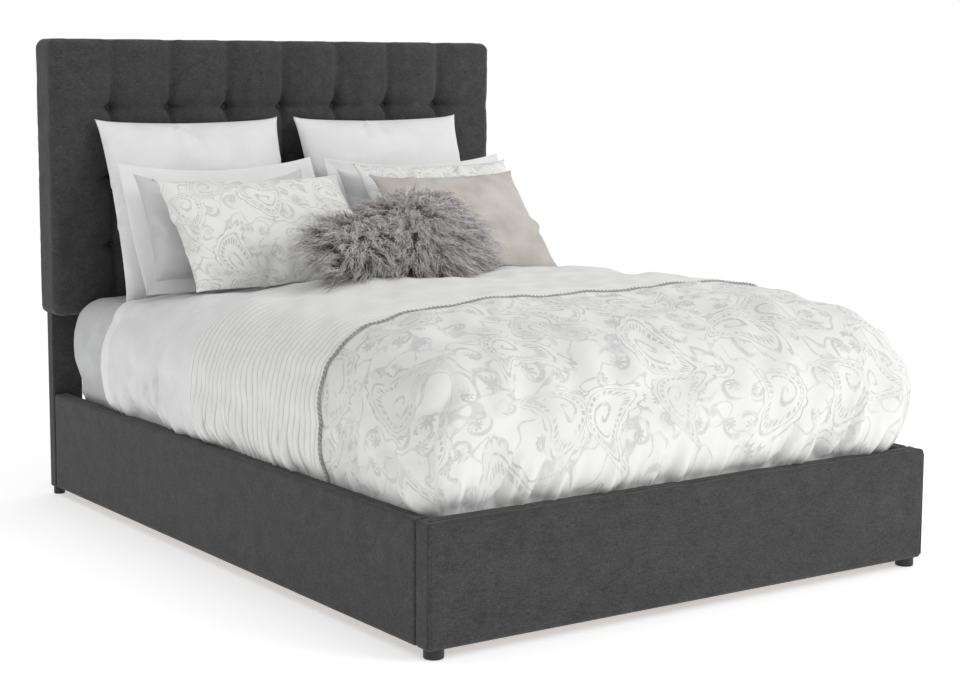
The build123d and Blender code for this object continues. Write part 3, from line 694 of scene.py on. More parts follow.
def headboard_cover():
    """The tufted cover: puffed boxes, creases between them and a pit at each button."""
    low, high = panel_low, panel_high
    rounding, reach_behind = 0.030, 0.05
    xs = tuft_lines(first_tuft_x, tuft_columns, tuft_pitch, 26)
    side = (high.x - low.x) / 2 + first_tuft_x
    xs = spread(low.x, 0.004, low.x + side)[:-1] + xs + spread(high.x - side, 0.004, high.x)[1:]
    ys = spread(low.y, 0.005, low.y + 0.035, 0.012, high.y)
    zs = tuft_lines(low.z, tuft_rows, tuft_row_pitch, 28)
    points, faces = shell(xs, ys, zs, leave_out=("+y",))
    points, normal = rounded(points, low, (high.x, high.y + reach_behind, high.z), rounding)
    depth, upright, level = tuft_depth(points[:, 0], points[:, 2])
    forward = smooth(0.0, 0.9, np.clip(-normal[:, 1], 0, 1))
    points[:, 1] += depth * forward
    back = smooth(high.y, high.y - 0.075, points[:, 1])
    scallop = (upright * np.abs(normal[:, 2]) + level * np.abs(normal[:, 0])) * 0.9 * (1 - forward) * back
    soft = ripples(11, 0.05, 0.22)(points[:, 0] + points[:, 1], points[:, 2]) * 0.0007
    for axis in (0, 2):
        out = normal[:, axis]
        points[:, axis] -= np.sign(out) * (scallop + np.abs(soft)) * (np.abs(out) > 0.3)
    piece = link("headboard_upholstery", points, faces, [looks["charcoal_weave"]])
    nodes = ["headboard_cover", "headboard_wadding", "headboard_foam"]
    settle(piece, "frame", nodes)


def tuft_buttons():
    """Cloth-covered buttons at the bottom of the pits, each turned from a domed profile."""
    profile = [(0.02, 0.0), (0.5, 0.0006), (0.8, 0.002), (1.0, 0.0045), (0.96, 0.008), (0.02, 0.009)]
    sides = 20
    verts, faces = [], []
    for column in range(1, tuft_columns):
        for row in range(1, tuft_rows):
            x = (column - tuft_columns / 2) * tuft_pitch
            z = panel_low.z + row * tuft_row_pitch
            base = len(verts)
            for share, back in profile:
                y = panel_low.y + button_sunk + back
                for k in range(sides):
                    turn = 2 * math.pi * k / sides
                    reach = share * button_radius
                    verts.append((x + reach * math.cos(turn), y, z + reach * math.sin(turn)))
            for ring in range(len(profile) - 1):
                for k in range(sides):
                    p, q = base + ring * sides + k, base + ring * sides + (k + 1) % sides
                    faces.append((p, q, q + sides, p + sides))
            faces.append(tuple(base + k for k in range(sides))[::-1])
    piece = link("tuft_buttons", verts, faces, [looks["charcoal_weave"]])
    settle(piece, "frame", ["headboard_buttons"])


def wrapped_block(name, node, radius, spacing, shape=None, taller=0.0):
    """A cloth-covered rail or post: the node's box with rounded edges and a slightly uneven face."""
    low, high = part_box(node)
    high.z += taller
    lines = []
    for a, b in zip(low, high):
        ends = min(radius * 1.6, (b - a) / 3)
        lines.append(spread(a, radius / 5, a + ends, spacing, b - ends, radius / 5, b))
    points, faces = shell(*lines)
    points, normal = rounded(points, low, high, radius)
    if shape is not None:
        points = shape(points, normal, low, high)
    return link(name, points, faces, [looks["charcoal_weave"]])


rail_slack = ripples(21, 0.09, 0.5)


def rail_shape(points, normal, low, high, outward):
    """A seam along the top, a slight fullness on the outer face and small slack in the cloth."""
    axis = 0 if abs(outward[0]) else 1
    outer = high[axis] if outward[axis] > 0 else low[axis]
    from_seam = np.abs(points[:, axis] - outer) - seam_inset
    top = np.clip(normal[:, 2], 0, 1)
    groove = bump(from_seam, 0.0035) * 0.0042 * top
    fall = bump(from_seam, 0.014) * 0.0015 * top
    slack = rail_slack(points[:, 1 - axis], points[:, 2] * 1.3) * 0.0008
    face = np.clip(normal[:, axis] * outward[axis], 0, 1)
    points[:, 2] -= groove + fall + np.abs(slack) * top
    points[:, axis] -= outward[axis] * (np.abs(slack) + 0.0004) * face
    return points


def rail_covers():
    """The covers of the foot rail and the two side rails."""
    for rail, side, outward in (("foot", "", (0, -1)), ("side", "_left", (-1, 0)), ("side", "_right", (1, 0))):
        nodes = [f"{rail}_rail_cover{side}", f"{rail}_rail_foam{side}"]
        piece = wrapped_block(
            f"{rail}_rail_upholstery{side}",
            nodes[0],
            0.011,
            0.016,
            lambda points, normal, low, high, way=outward: rail_shape(points, normal, low, high, way),
        )
        settle(piece, "frame", nodes)


def seam_cords():
    """Raised seams: along the top of each rail and down the ends of the foot rail."""
    cord_radius, spacing = 0.0021, 0.02
    height = rail_high - 0.0028
    foot_end = half_frame - 0.014
    foot_line = spread(-foot_end, spacing, foot_end)
    side_line = spread(foot_inner + 0.004, spacing, rail_end - 0.006)
    upright = spread(rail_low + 0.01, spacing, rail_high - 0.014)
    paths = {"foot_rail_seam": [(x, foot_face + seam_inset, height) for x in foot_line]}
    for side, way in (("left", -1), ("right", 1)):
        x, end = way * (half_frame - seam_inset), way * (half_frame - 0.0035)
        paths[f"side_rail_seam_{side}"] = [(x, y, height) for y in side_line]
        paths[f"foot_rail_end_seam_{side}"] = [(end, foot_face + 0.0035, z) for z in upright]
    for name, path in paths.items():
        settle(tube(name, path, cord_radius, material=looks["charcoal_weave"]), "frame")


def post_sleeves():
    """The cloth sleeves of the headboard posts below the padded panel."""
    for side in ("left", "right"):
        piece = wrapped_block(f"post_upholstery_{side}", f"post_sleeve_{side}", 0.005, 0.02, taller=0.02)
        settle(piece, "frame", [f"post_sleeve_{side}", f"headboard_post_{side}"])


headboard_cover()
tuft_buttons()
rail_covers()
seam_cords()
post_sleeves()


# ---------------------------------------------------------------- bedding forms
def arc(a, b, c, count=24):
    """Points on the round arc from a to c through b."""
    a, b, c = (complex(*p) for p in (a, b, c))
    w = (c - a) / (b - a)
    centre = (b - a) * (w - abs(w) ** 2) / (2j * w.imag) + a
    start, middle, end = (np.angle(p - centre) for p in (a, b, c))
    sweep = (end - start) % (2 * math.pi)
    if (middle - start) % (2 * math.pi) > sweep:
        sweep -= 2 * math.pi
    turns = start + sweep * np.linspace(0, 1, count)
    points = centre + abs(a - centre) * np.exp(1j * turns)
    return np.column_stack([points.real, points.imag])


def by_length(points, shares):
    """Points at the given shares of a line's length."""
    run = np.concatenate([[0], np.cumsum(np.hypot(*np.diff(points, axis=0).T))])
    return np.column_stack([np.interp(shares * run[-1], run, points[:, i]) for i in range(2)]), run[-1]


def normals_of(points, faces):
    """A unit normal for each vertex."""
    quads = np.array([f for f in faces if len(f) == 4])
    across = points[quads[:, 2]] - points[quads[:, 0]]
    other = points[quads[:, 3]] - points[quads[:, 1]]
    flat = np.cross(across, other)
    total = np.zeros_like(points)
    for k in range(4):
        np.add.at(total, quads[:, k], flat)
    return total / np.maximum(np.linalg.norm(total, axis=1, keepdims=True), 1e-12)


def along_and_across(a, b, start, end):
    """Distances along a line from its start, and to its side, and the line's length."""
    start, end = np.array(start), np.array(end)
    way = end - start
    length = np.hypot(*way)
    along = ((a - start[0]) * way[0] + (b - start[1]) * way[1]) / length
    across = ((a - start[0]) * way[1] - (b - start[1]) * way[0]) / length
    return along, across, length


def lap(a, b, start, end, reach, height):
    """A fold along a line where the cloth stands up on one side and laps over the other."""
    along, across, length = along_and_across(a, b, start, end)
    fade = smooth(0.0, 0.5 * length, along)
    return fade * height * smooth(-0.002, 0.003, across) * np.exp(-across.clip(0) / reach)


def fold(a, b, start, end, width, depth):
    """A crease along a line between two points, with a soft ridge on each side."""
    along, across, length = along_and_across(a, b, start, end)
    fade = smooth(-0.2 * length, 0.25 * length, along) * (1 - smooth(0.8 * length, 1.15 * length, along))
    ridge = bump(across - 2 * width, width * 1.3) + bump(across + 2 * width, width * 1.3)
    return fade * depth * (0.55 * ridge - bump(across, width))


# The comforter's cross-sections, as its solid has them. Along is the distance from the foot rail's
# face, and the points of the outline are X and height.
Section = namedtuple("Section", "along belly shoulder end crown centre")
comforter_sections = (
    Section(0.527, 0.798, (0.768, 0.618), (0.650, 0.720), (0.405, 0.754), 0.757),
    Section(1.215, 0.815, (0.782, 0.614), (0.630, 0.714), (0.330, 0.740), 0.746),
    Section(1.800, 0.815, (0.776, 0.602), (0.690, 0.652), (0.350, 0.676), 0.682),
)
stations = [section.along for section in comforter_sections]
tuck_half, tuck_height, belly_height = 0.768, 0.335, 0.480
# The foot end's line, as distance from the foot rail's face and height, up to the first section.
foot_tuck, foot_belly = 0.062, 0.004
foot_shoulder, foot_slope, foot_crown = (0.038, 0.606), (0.140, 0.690), (0.300, 0.733)
foot_top = (comforter_sections[0].along, comforter_sections[0].centre)
corner_radius = 0.095
corner_fill = 0.016
side_length = 0.375  # of cloth from the shoulder to the hem


def side_curves(shares, reach):
    """For each cross-section: heights over the top at shares of the reach, and the side's line."""
    tops, sides = [], []
    for section in comforter_sections:
        widest, shoulder = (section.belly, belly_height), section.shoulder
        falling = arc(section.end, shoulder, widest)
        upper = np.vstack([arc((0, section.centre), section.crown, section.end), falling])
        upper = upper[upper[:, 0] <= shoulder[0] + 1e-9]
        tops.append(np.interp(reach * shoulder[0], upper[:, 0], upper[:, 1]))
        falling = falling[falling[:, 0] >= shoulder[0]]
        tucked = arc(widest, (section.belly - 0.005, 0.395), (tuck_half, tuck_height))
        line = np.vstack([[shoulder], falling, tucked[1:], [(tuck_half - 0.004, comforter_hem)]])
        sides.append(by_length(line, shares)[0])
    return np.array(tops), np.array(sides)


def foot_curves(shares):
    """The foot end: its line over the top, its side's line at shares of the length, and that length."""
    slope = arc((foot_belly, belly_height), foot_shoulder, foot_slope)
    top = np.vstack([slope, arc(foot_slope, foot_crown, foot_top)])
    top = top[top[:, 0] >= foot_shoulder[0]]
    side = slope[slope[:, 0] <= foot_shoulder[0]][::-1]
    tuck = arc((foot_belly, belly_height), (0.018, 0.395), (foot_tuck, tuck_height))
    side = np.vstack([[foot_shoulder], side, tuck[1:], [(foot_tuck + 0.004, comforter_hem)]])
    side, length = by_length(side, shares)
    return top, side, length


def along_bed(values, places):
    """Interpolates a value per cross-section at places along the bed."""
    return np.array([np.interp(places, stations, column) for column in values.T]).T


def side_drops(distance, half, centre, top_row, reach):
    """How far the top lies below its centre line at a distance from it."""
    position = np.interp(np.clip(distance / half, 0, 1), reach, np.arange(len(reach)))
    low = np.floor(position).astype(int)
    high = np.minimum(low + 1, len(reach) - 1)
    part = position - low
    rows = np.arange(len(distance))
    return centre - (top_row[rows, low] * (1 - part) + top_row[rows, high] * part)


def foot_drops(distance, line):
    """How far the top lies below its highest section at a distance from the foot rail's face."""
    return foot_top[1] - np.interp(distance, line[:, 0], line[:, 1])


Corner = namedtuple("Corner", "inside dx dy reach length side")


def corner_of(x, y, half):
    """Where points lie past the start of the rounded corner, and how much of the side each follows."""
    dx, dy = x - (half - corner_radius), foot_shoulder[0] + corner_radius - y
    inside = (dx > 0) & (dy > 0)
    length = np.maximum(np.hypot(dx, dy), 1e-9)
    side = np.where(inside, dx**2 / length**2, np.where(dy > 0, 0.0, 1.0))
    return Corner(inside, dx, dy, np.maximum(dx, dy), length, side)


def top_heights(x, y, half, centre, corner, top_row, reach, line):
    """Heights of the comforter's top: the falls to the side and to the foot, joined at the corner."""
    start_x, start_y = half - corner_radius, foot_shoulder[0] + corner_radius

    def to_side(distance):
        return side_drops(distance, half, centre, top_row, reach)

    steep_side = to_side(start_x + np.where(corner.inside, corner.reach, np.clip(corner.dx, 0, None)))
    steep_side = steep_side - to_side(start_x)
    steep_foot = foot_drops(start_y - np.where(corner.inside, corner.reach, np.clip(corner.dy, 0, None)), line)
    steep_foot = steep_foot - foot_drops(start_y, line)
    shared = corner.side * steep_side + (1 - corner.side) * steep_foot
    steep = np.where(corner.inside, shared, steep_side + steep_foot)
    base_side, base_foot = to_side(np.minimum(x, start_x)), foot_drops(np.maximum(y, start_y), line)
    return centre - (base_side.clip(0) ** 3 + base_foot.clip(0) ** 3) ** (1 / 3) - steep


def comforter_form(points):
    """Maps box coordinates, across -1 to 1, along in metres and 0 down to -1, to the comforter.

    Gives the places, the places on the cloth laid flat, and how much of the foot end each follows.
    """
    across, along, drop = points.T
    shares = -drop
    reach = np.unique(np.abs(across))
    tops, sides = side_curves(np.unique(shares), reach)
    line, foot_side, foot_length = foot_curves(shares)
    which = np.arange(len(points)), np.searchsorted(np.unique(shares), shares)
    side_x, side_z = along_bed(sides[:, :, 0], along), along_bed(sides[:, :, 1], along)
    half = np.interp(along, stations, [section.shoulder[0] for section in comforter_sections])
    centre = np.interp(along, stations, [section.centre for section in comforter_sections])

    x, y = np.abs(across) * half, foot_shoulder[0] + along
    corner = corner_of(x, y, half)
    side, foot = corner.side, 1 - corner.side
    height = top_heights(x, y, half, centre, corner, along_bed(tops, along), reach, line)

    pull = np.where(corner.inside, corner.reach / corner.length, 1.0)
    x = np.where(corner.inside, half - corner_radius + corner.dx * pull, x)
    y = np.where(corner.inside, foot_shoulder[0] + corner_radius - corner.dy * pull, y)
    lowered = drop < 0
    rounding = corner_fill * 4 * side * foot * np.sin(np.clip(shares * 1.3, 0, 1) * math.pi)
    out = side * (side_x[which] - half) + foot * (foot_shoulder[0] - foot_side[:, 0]) + rounding
    out = np.where(lowered, out, 0)
    side_part = (side_z[which] - comforter_hem) / (side_z[:, 0] - comforter_hem)
    foot_part = (foot_side[:, 1] - comforter_hem) / (foot_shoulder[1] - comforter_hem)
    part = side * side_part + foot * foot_part
    height = np.where(lowered, comforter_hem + (height - comforter_hem) * part, height)
    x = x + np.where(corner.inside, corner.dx / corner.length, np.where(foot > 0.5, 0, 1)) * out
    y = y + np.where(corner.inside, -corner.dy / corner.length, np.where(foot > 0.5, -1, 0)) * out

    sign = np.where(across < 0, -1, 1)
    placed = np.column_stack([sign * x, foot_face + y, height])
    flat_u = np.abs(across) * half + np.where(foot > 0.5, 0, shares * side_length)
    flat_v = y - np.where(foot > 0.5, shares * foot_length, 0)
    return placed, np.column_stack([sign * flat_u, flat_v, 0 * x]), foot


# Folds: start and end, then width and depth. On the foot end and the left side a point is its place
# along the face and its height, and over the top it is its place on the flat cloth.
foot_folds = (
    ((-0.560, 0.47), (-0.600, 0.335), 0.009, 0.011),
    ((-0.250, 0.42), (-0.262, 0.335), 0.008, 0.010),
    ((0.330, 0.45), (0.300, 0.335), 0.009, 0.011),
    ((0.560, 0.52), (0.500, 0.335), 0.009, 0.013),
)
side_folds = (
    ((0.350, 0.46), (0.325, 0.335), 0.007, 0.012),
    ((1.50, 0.47), (1.46, 0.335), 0.009, 0.013),
    ((1.43, 0.50), (1.40, 0.335), 0.008, 0.012),
    ((1.66, 0.44), (1.62, 0.335), 0.008, 0.009),
    ((1.13, 0.42), (1.10, 0.335), 0.008, 0.009),
    ((0.72, 0.43), (0.70, 0.335), 0.008, 0.008),
)
top_folds = (
    ((-0.60, 1.42), (-0.30, 1.30), 0.011, 0.005),
    ((-0.72, 1.62), (-0.35, 1.46), 0.012, 0.006),
    ((-0.78, 1.36), (-0.52, 1.27), 0.010, 0.006),
    ((0.30, 1.20), (0.62, 1.02), 0.014, 0.004),
    ((-0.20, 0.95), (0.25, 0.80), 0.016, 0.003),
)
# Laps: start and end in the same way, then how far the raised side reaches, and its height.
foot_laps = (((-0.735, 0.50), (-0.765, 0.335), 0.06, 0.010), ((0.600, 0.56), (0.560, 0.335), 0.07, 0.008))
side_laps = (((0.150, 0.64), (0.155, 0.335), 0.07, 0.015), ((0.255, 0.50), (0.240, 0.335), 0.05, 0.007))


def filling(u, v, x, y, z):
    """The fullness of the comforter, more in the print and at the right, less at the foot's edge."""
    uneven = 0.0055 * (1 - 0.6 * bump(v - piping_at - 0.05, 0.22))
    relief = ripples(31, 0.22, 0.6)(u, v) * uneven + ripples(32, 0.07, 0.2)(u, v) * 0.0016
    print_end = 1 - smooth(piping_at - 0.022, piping_at + 0.002, v)
    foot_end = smooth(0.45, 0.2, y)
    relief = relief + (ripples(33, 0.10, 0.24)(u, v) * 0.0035 + 0.006 * foot_end - 0.006) * print_end
    beside_piping = bump(v - piping_at + 0.055, 0.045) * smooth(0.75, 0.5, np.abs(u))
    plump = bump(x - 0.60, 0.26) * smooth(0.42, 0.62, z) * (1 - 0.75 * smooth(1.45, 1.75, y))
    return relief + 0.006 * beside_piping + 0.022 * plump


def pleat_relief(u, v):
    """Rounded pleats with stitched grooves between them."""
    crown_height, groove_depth = 0.0022, 0.0048
    pleated = smooth(piping_at + 0.004, piping_at + 0.012, v) * (1 - smooth(pleats_end - 0.03, pleats_end, v))
    phase = np.mod((v - piping_at) / pleat, 1.0)
    groove = 1 - smooth(0.0, 0.13, phase) + smooth(0.87, 1.0, phase)
    even = 0.7 + 0.3 * smooth(-1, 1, ripples(34, 0.25, 0.8)(u, v * 0.3))
    near_piping = smooth(*(piping_at + count * pleat for count in pleats_near_piping), v)
    shown = np.maximum(smooth(*pleats_fade, np.abs(u)), near_piping * 1.3)
    return pleated * shown * (crown_height * np.sin(math.pi * phase) - groove_depth * groove) * even


def comforter_relief(flat, placed, foot):
    """How far the cloth stands out: filling, pleats, seams, gathers, folds and laps."""
    u, v = flat[:, 0], flat[:, 1]
    x, y, z = placed[:, 0], placed[:, 1] - foot_face, placed[:, 2]
    relief = filling(u, v, x, y, z) + pleat_relief(u, v)
    relief = relief - 0.0035 * bump(v - (comforter_head - hem_band), 0.0035)
    front = foot > 0.5
    left = (~front) & (x < -0.6)
    gathers = ripples(35, 0.045, 0.14)(np.where(front, u, v), 0 * u + 0.3)
    relief = relief + smooth(0.47, 0.36, z) * (np.abs(gathers) * 0.0075 - 0.001)
    for there, along, folds, laps in ((front, x, foot_folds, foot_laps), (left, y, side_folds, side_laps)):
        creases = sum(fold(along, z, *row) for row in folds) + sum(lap(along, z, *row) for row in laps)
        relief = relief + np.where(there, creases, 0)
    return relief + sum(fold(u, v, *row) for row in top_folds)


def clear_of_mattress(points):
    """Moves points out of the mattress's rounded form, grown by the room that the filling needs."""
    room, radius, deeper = 0.012, 0.06, 0.15
    low, high = mattress_low, mattress_high
    belly = 0.028 * bump(points[:, 2] - 0.5, 0.14)
    half = np.array((half_mattress, (high.y - low.y) / 2, (high.z - low.z) / 2 + deeper)) + room
    centre = np.array((0.0, (low.y + high.y) / 2, (low.z + high.z) / 2 - deeper))
    place = points - centre
    place[:, 0] /= 1 + belly / half_mattress
    beyond = np.abs(place) - (half - radius)
    outside = np.maximum(beyond, 0)
    length = np.linalg.norm(outside, axis=1)
    depth = length + np.minimum(beyond.max(axis=1), 0) - radius
    way = np.where(length[:, None] > 0, outside / np.maximum(length, 1e-9)[:, None], 0) * np.sign(place)
    inside = (depth < 0) & (length > 0)
    return points - np.where(inside[:, None], way * depth[:, None], 0)


def rows_along_comforter():
    """Grid lines along the comforter from its foot shoulder, closer at the lap, piping, pleats and hem."""
    start = foot_shoulder[0]
    lapped, piping, hem = side_laps[0][0][0] - start, piping_at - start, comforter_head - hem_band - start
    pleats = round((pleats_end - piping_at) / pleat)
    shares = (0.07, 0.13, 0.32, 0.5, 0.68, 0.87, 0.93, 1.0)
    ys = spread(0, 0.011, lapped - 0.012, 0.0025, lapped + 0.015, 0.011, piping - 0.02, 0.004, piping)
    ys += [piping + (k + share) * pleat for k in range(pleats) for share in shares]
    ys += spread(ys[-1], 0.011, hem - 0.01, 0.0035, hem + 0.01, 0.009, comforter_head - start)[1:]
    return ys


def comforter():
    """The comforter: a printed foot end, piping, a pleated band, a plain part and a hem band."""
    xs, ys, zs = spread(-1.0, 0.0125, 1.0), rows_along_comforter(), spread(-1.0, 0.035, 0.0)
    box, faces = shell(xs, ys, zs, leave_out=("-z", "+y"))
    points, flat, foot = comforter_form(box)
    normal = normals_of(points, faces)
    points = points + normal * comforter_relief(flat, points, foot)[:, None]
    wander = ripples(36, 0.3, 0.9)(flat[:, 0], flat[:, 1]) * 0.002
    points[:, 1] += wander * smooth(0.3, 0.6, flat[:, 1]) * smooth(1.7, 1.4, flat[:, 1])
    points = clear_of_mattress(points)
    points, faces, flat = turned_edge(box, points, faces, flat, normals_of(points, faces))
    zones = ("comforter_cotton", "comforter_pleats", "comforter_plain", "comforter_hem")
    piece = link("comforter_quilt", points, faces, [looks[zone] for zone in zones])
    tag(piece, "flat", flat)
    ends = (piping_at, pleats_end, comforter_head - hem_band)
    for polygon in piece.data.polygons:
        middle = sum(flat[v][1] for v in polygon.vertices) / len(polygon.vertices)
        polygon.material_index = int(np.searchsorted(ends, middle))
    settle(piece, "mattress", ["comforter"])
    comforter_piping(box, points, normal)


def edge_order(box, along):
    """The vertices of one row across the comforter, from the left hem to the right hem."""
    row = np.flatnonzero(np.abs(box[:, 1] - along) < 1e-6)
    key = np.where(box[row, 2] < 0, np.sign(box[row, 0]) * (1 - box[row, 2]), box[row, 0])
    return row[np.argsort(key)]


def turned_edge(box, points, faces, flat, normal):
    """Rolls the head edge over and turns it in under the comforter."""
    row = edge_order(box, box[:, 1].max())
    rings = ((0.005, 0.002), (0.008, 0.008), (0.008, 0.016), (0.004, 0.023), (-0.02, 0.025), (-0.2, 0.025))
    verts, tags, quads = [points], [flat], list(faces)
    previous = row
    count = len(points)
    for forward, inward in rings:
        ring = points[row] - normal[row] * inward
        ring[:, 1] = points[row, 1] + forward
        verts.append(ring)
        tags.append(flat[row] + (0, max(forward, 0), 0))
        current = count + np.arange(len(row))
        for k in range(len(row) - 1):
            quads.append([previous[k], previous[k + 1], current[k + 1], current[k]])
        previous, count = current, count + len(row)
    return np.vstack(verts), [list(map(int, q)) for q in quads], np.vstack(tags)


def comforter_piping(box, points, normal):
    """Two twisted strands along the seam between the print and the pleats, flatter over the top."""
    spacing, twist, strand_radius = 0.0035, 0.026, 0.0027
    ys = np.unique(box[:, 1])
    row = edge_order(box, ys[np.argmin(np.abs(ys - (piping_at - foot_shoulder[0])))])
    sunk = 0.0035 * smooth(0.75, 0.5, np.abs(points[row, 0]))
    path, out = points[row] + normal[row] * (0.004 - sunk)[:, None], normal[row]
    run = np.concatenate([[0], np.cumsum(np.linalg.norm(np.diff(path, axis=0), axis=1))])
    places = np.arange(0, run[-1], spacing)
    path = np.column_stack([np.interp(places, run, path[:, i]) for i in range(3)])
    out = np.column_stack([np.interp(places, run, out[:, i]) for i in range(3)])
    keep = path[:, 2] > tuck_height - 0.02
    path, out, places = path[keep], out[keep], places[keep]
    for strand in (0, 1):
        turn = 2 * math.pi * places / twist + strand * math.pi
        twisted = path + out * (np.cos(turn) * 0.0027)[:, None]
        twisted[:, 1] += np.sin(turn) * 0.0029
        name = f"comforter_piping_{strand + 1}"
        piece = tube(name, twisted, strand_radius, sides=6, material=looks["piping"])
        settle(piece, "mattress")


comforter()


# ---------------------------------------------------------------- mattress, sheet and box spring
def mattress_skin(grow, xs, ys, zs, leave_out, seed):
    """The mattress's bellied and crowned form, grown by the thickness of what lies on it."""
    low, high = mattress_low, mattress_high
    half = half_mattress + grow
    low_corner, high_corner = (-half, low.y - grow, low.z - 0.3), (half, high.y + grow, high.z + grow)
    points, faces = shell(xs, ys, zs, leave_out)
    points, normal = rounded(points, low_corner, high_corner, 0.062)
    x, z = points[:, 0].copy(), points[:, 2].copy()
    bare = smooth(1.76, 1.92, points[:, 1] - foot_face)  # past the comforter's head edge
    belly = np.sin(np.clip((z - low.z) / 0.31, 0, 1) * math.pi) ** 0.8 * (0.028 + 0.034 * bare)
    hang = 0.011 + 0.003 * bare + 0.016 * bare * smooth(rail_high - 0.006, rail_high + 0.02, z)
    belly = np.maximum(belly, hang * smooth(0.60, 0.50, z))
    points[:, 0] += x / half * half_mattress * belly
    points[:, 2] -= 0.022 * (1 - 0.6 * bare) * (np.abs(x) / half) ** 3 * smooth(0.45, 0.62, z)
    slack = ripples(seed, 0.08, 0.4)(x + points[:, 1], z + points[:, 1] * 0.3) * 0.0012
    return points - normal * np.abs(slack)[:, None], faces, normal


def fitted_sheet():
    """The pale grey sheet pulled over the mattress, with pulls at its corners and a gathered hem."""
    low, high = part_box("fitted_sheet")
    thickness = 0.002
    room = half_mattress + thickness
    xs = spread(-room, 0.012, -room + 0.12, 0.03, room - 0.12, 0.012, room)
    ys = spread(low.y, 0.03, high.y - 0.45, 0.013, high.y)
    hem_height = rail_high - 0.010
    zs = spread(hem_height, 0.010, high.z)
    points, faces, normal = mattress_skin(thickness, xs, ys, zs, ("-z",), 41)
    from_end = np.minimum(high.y - points[:, 1], points[:, 1] - low.y)
    to_corner = np.hypot(np.abs(points[:, 0]) - 0.70, from_end - 0.05)
    near = np.exp(-to_corner / 0.10) * (1 - np.clip(normal[:, 2], 0, 1))
    pulls = ripples(42, 0.03, 0.07)(points[:, 0] + points[:, 1] * 0.8, points[:, 2] * 0.25)
    hem = smooth(hem_height + 0.09, hem_height, points[:, 2])
    gather = ripples(43, 0.022, 0.05)(points[:, 0] + points[:, 1], 0 * points[:, 0])
    points = points + normal * (near * np.abs(pulls) * 0.0022 + hem * np.abs(gather) * 0.0012)[:, None]
    points[:, 1] = np.minimum(points[:, 1], high.y)
    piece = link("sheet", points, faces, [looks["sheet_cotton"]])
    settle(piece, "mattress", ["fitted_sheet"])


def loop(half, low_y, high_y, radius, height):
    """Points round a rectangle with rounded corners."""
    points = []
    corners = ((half, high_y, 0), (-half, high_y, 90), (-half, low_y, 180), (half, low_y, 270))
    for x, y, start in corners:
        centre_x = x - math.copysign(radius, x)
        centre_y = y - radius if y == high_y else y + radius
        for k in range(9):
            turn = math.radians(start + k * 90 / 8)
            points.append((centre_x + radius * math.cos(turn), centre_y + radius * math.sin(turn), height))
    return points


def tape_edge(name, body, half, node, inset, corner, height, radius):
    """A rolled tape edge round a mattress or a box spring."""
    low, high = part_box(node)
    path = loop(half, low.y + inset, high.y - inset, corner, height)
    settle(tube(name, path, radius, closed=True, material=looks["ticking"]), body)


def mattress_body():
    """The mattress: a quilted border, panels and a tape edge round the bottom."""
    low, high = mattress_low, mattress_high
    xs = spread(-0.750, 0.012, -0.65, 0.04, 0.65, 0.012, 0.750)
    ys = spread(low.y + 0.002, 0.012, low.y + 0.1, 0.04, high.y - 0.1, 0.012, high.y - 0.002)
    zs = spread(low.z, 0.012, high.z - 0.002)
    points, faces, normal = mattress_skin(-0.004, xs, ys, zs, (), 44)
    side = 1 - np.abs(normal[:, 2])
    run, rise = (points[:, 0] + points[:, 1]) * math.pi / 0.11, points[:, 2] * 18
    quilt = np.abs(np.sin(run + rise)) * np.abs(np.sin(run - rise))
    points = points - normal * (bump(quilt, 0.12) * 0.002 * side)[:, None]
    piece = link("mattress_body", points, faces, [looks["ticking"]])
    settle(piece, "mattress", ["mattress"])
    tape_edge("mattress_tape_edge", "mattress", 0.7505, "mattress", 0.0035, 0.066, low.z + 0.006, 0.0055)


def box_spring():
    """The box spring: a cloth border that draws in between two tape edges, and a flat top."""
    low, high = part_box("box_spring_cover")
    corner = 0.072
    xs = spread(low.x, 0.012, low.x + 0.1, 0.04, high.x - 0.1, 0.012, high.x)
    ys = spread(low.y, 0.012, low.y + 0.1, 0.04, high.y - 0.1, 0.012, high.y)
    zs = spread(low.z, 0.012, high.z)
    points, faces = shell(xs, ys, zs)
    points, normal = rounded(points, (low.x, low.y, low.z - 0.3), (high.x, high.y, high.z + 0.3), corner)
    points = points.clip((-9, -9, low.z), (9, 9, high.z))
    hollow = np.sin((points[:, 2] - low.z) / (high.z - low.z) * math.pi) * 0.004
    slack = ripples(46, 0.1, 0.5)(points[:, 0] + points[:, 1], points[:, 2]) * 0.001
    points[:, :2] -= normal[:, :2] * (0.002 + hollow + slack)[:, None]
    piece = link("box_spring_cloth", points, faces, [looks["ticking"]])
    settle(piece, "box_spring", ["box_spring_cover"])
    inset, from_end = 0.0035, 0.0062
    for name, height in (("upper", high.z - from_end), ("lower", low.z + from_end)):
        name = f"box_spring_tape_{name}"
        tape_edge(name, "box_spring", high.x - inset, "box_spring_cover", inset, 0.070, height, 0.006)


fitted_sheet()
mattress_body()
box_spring()


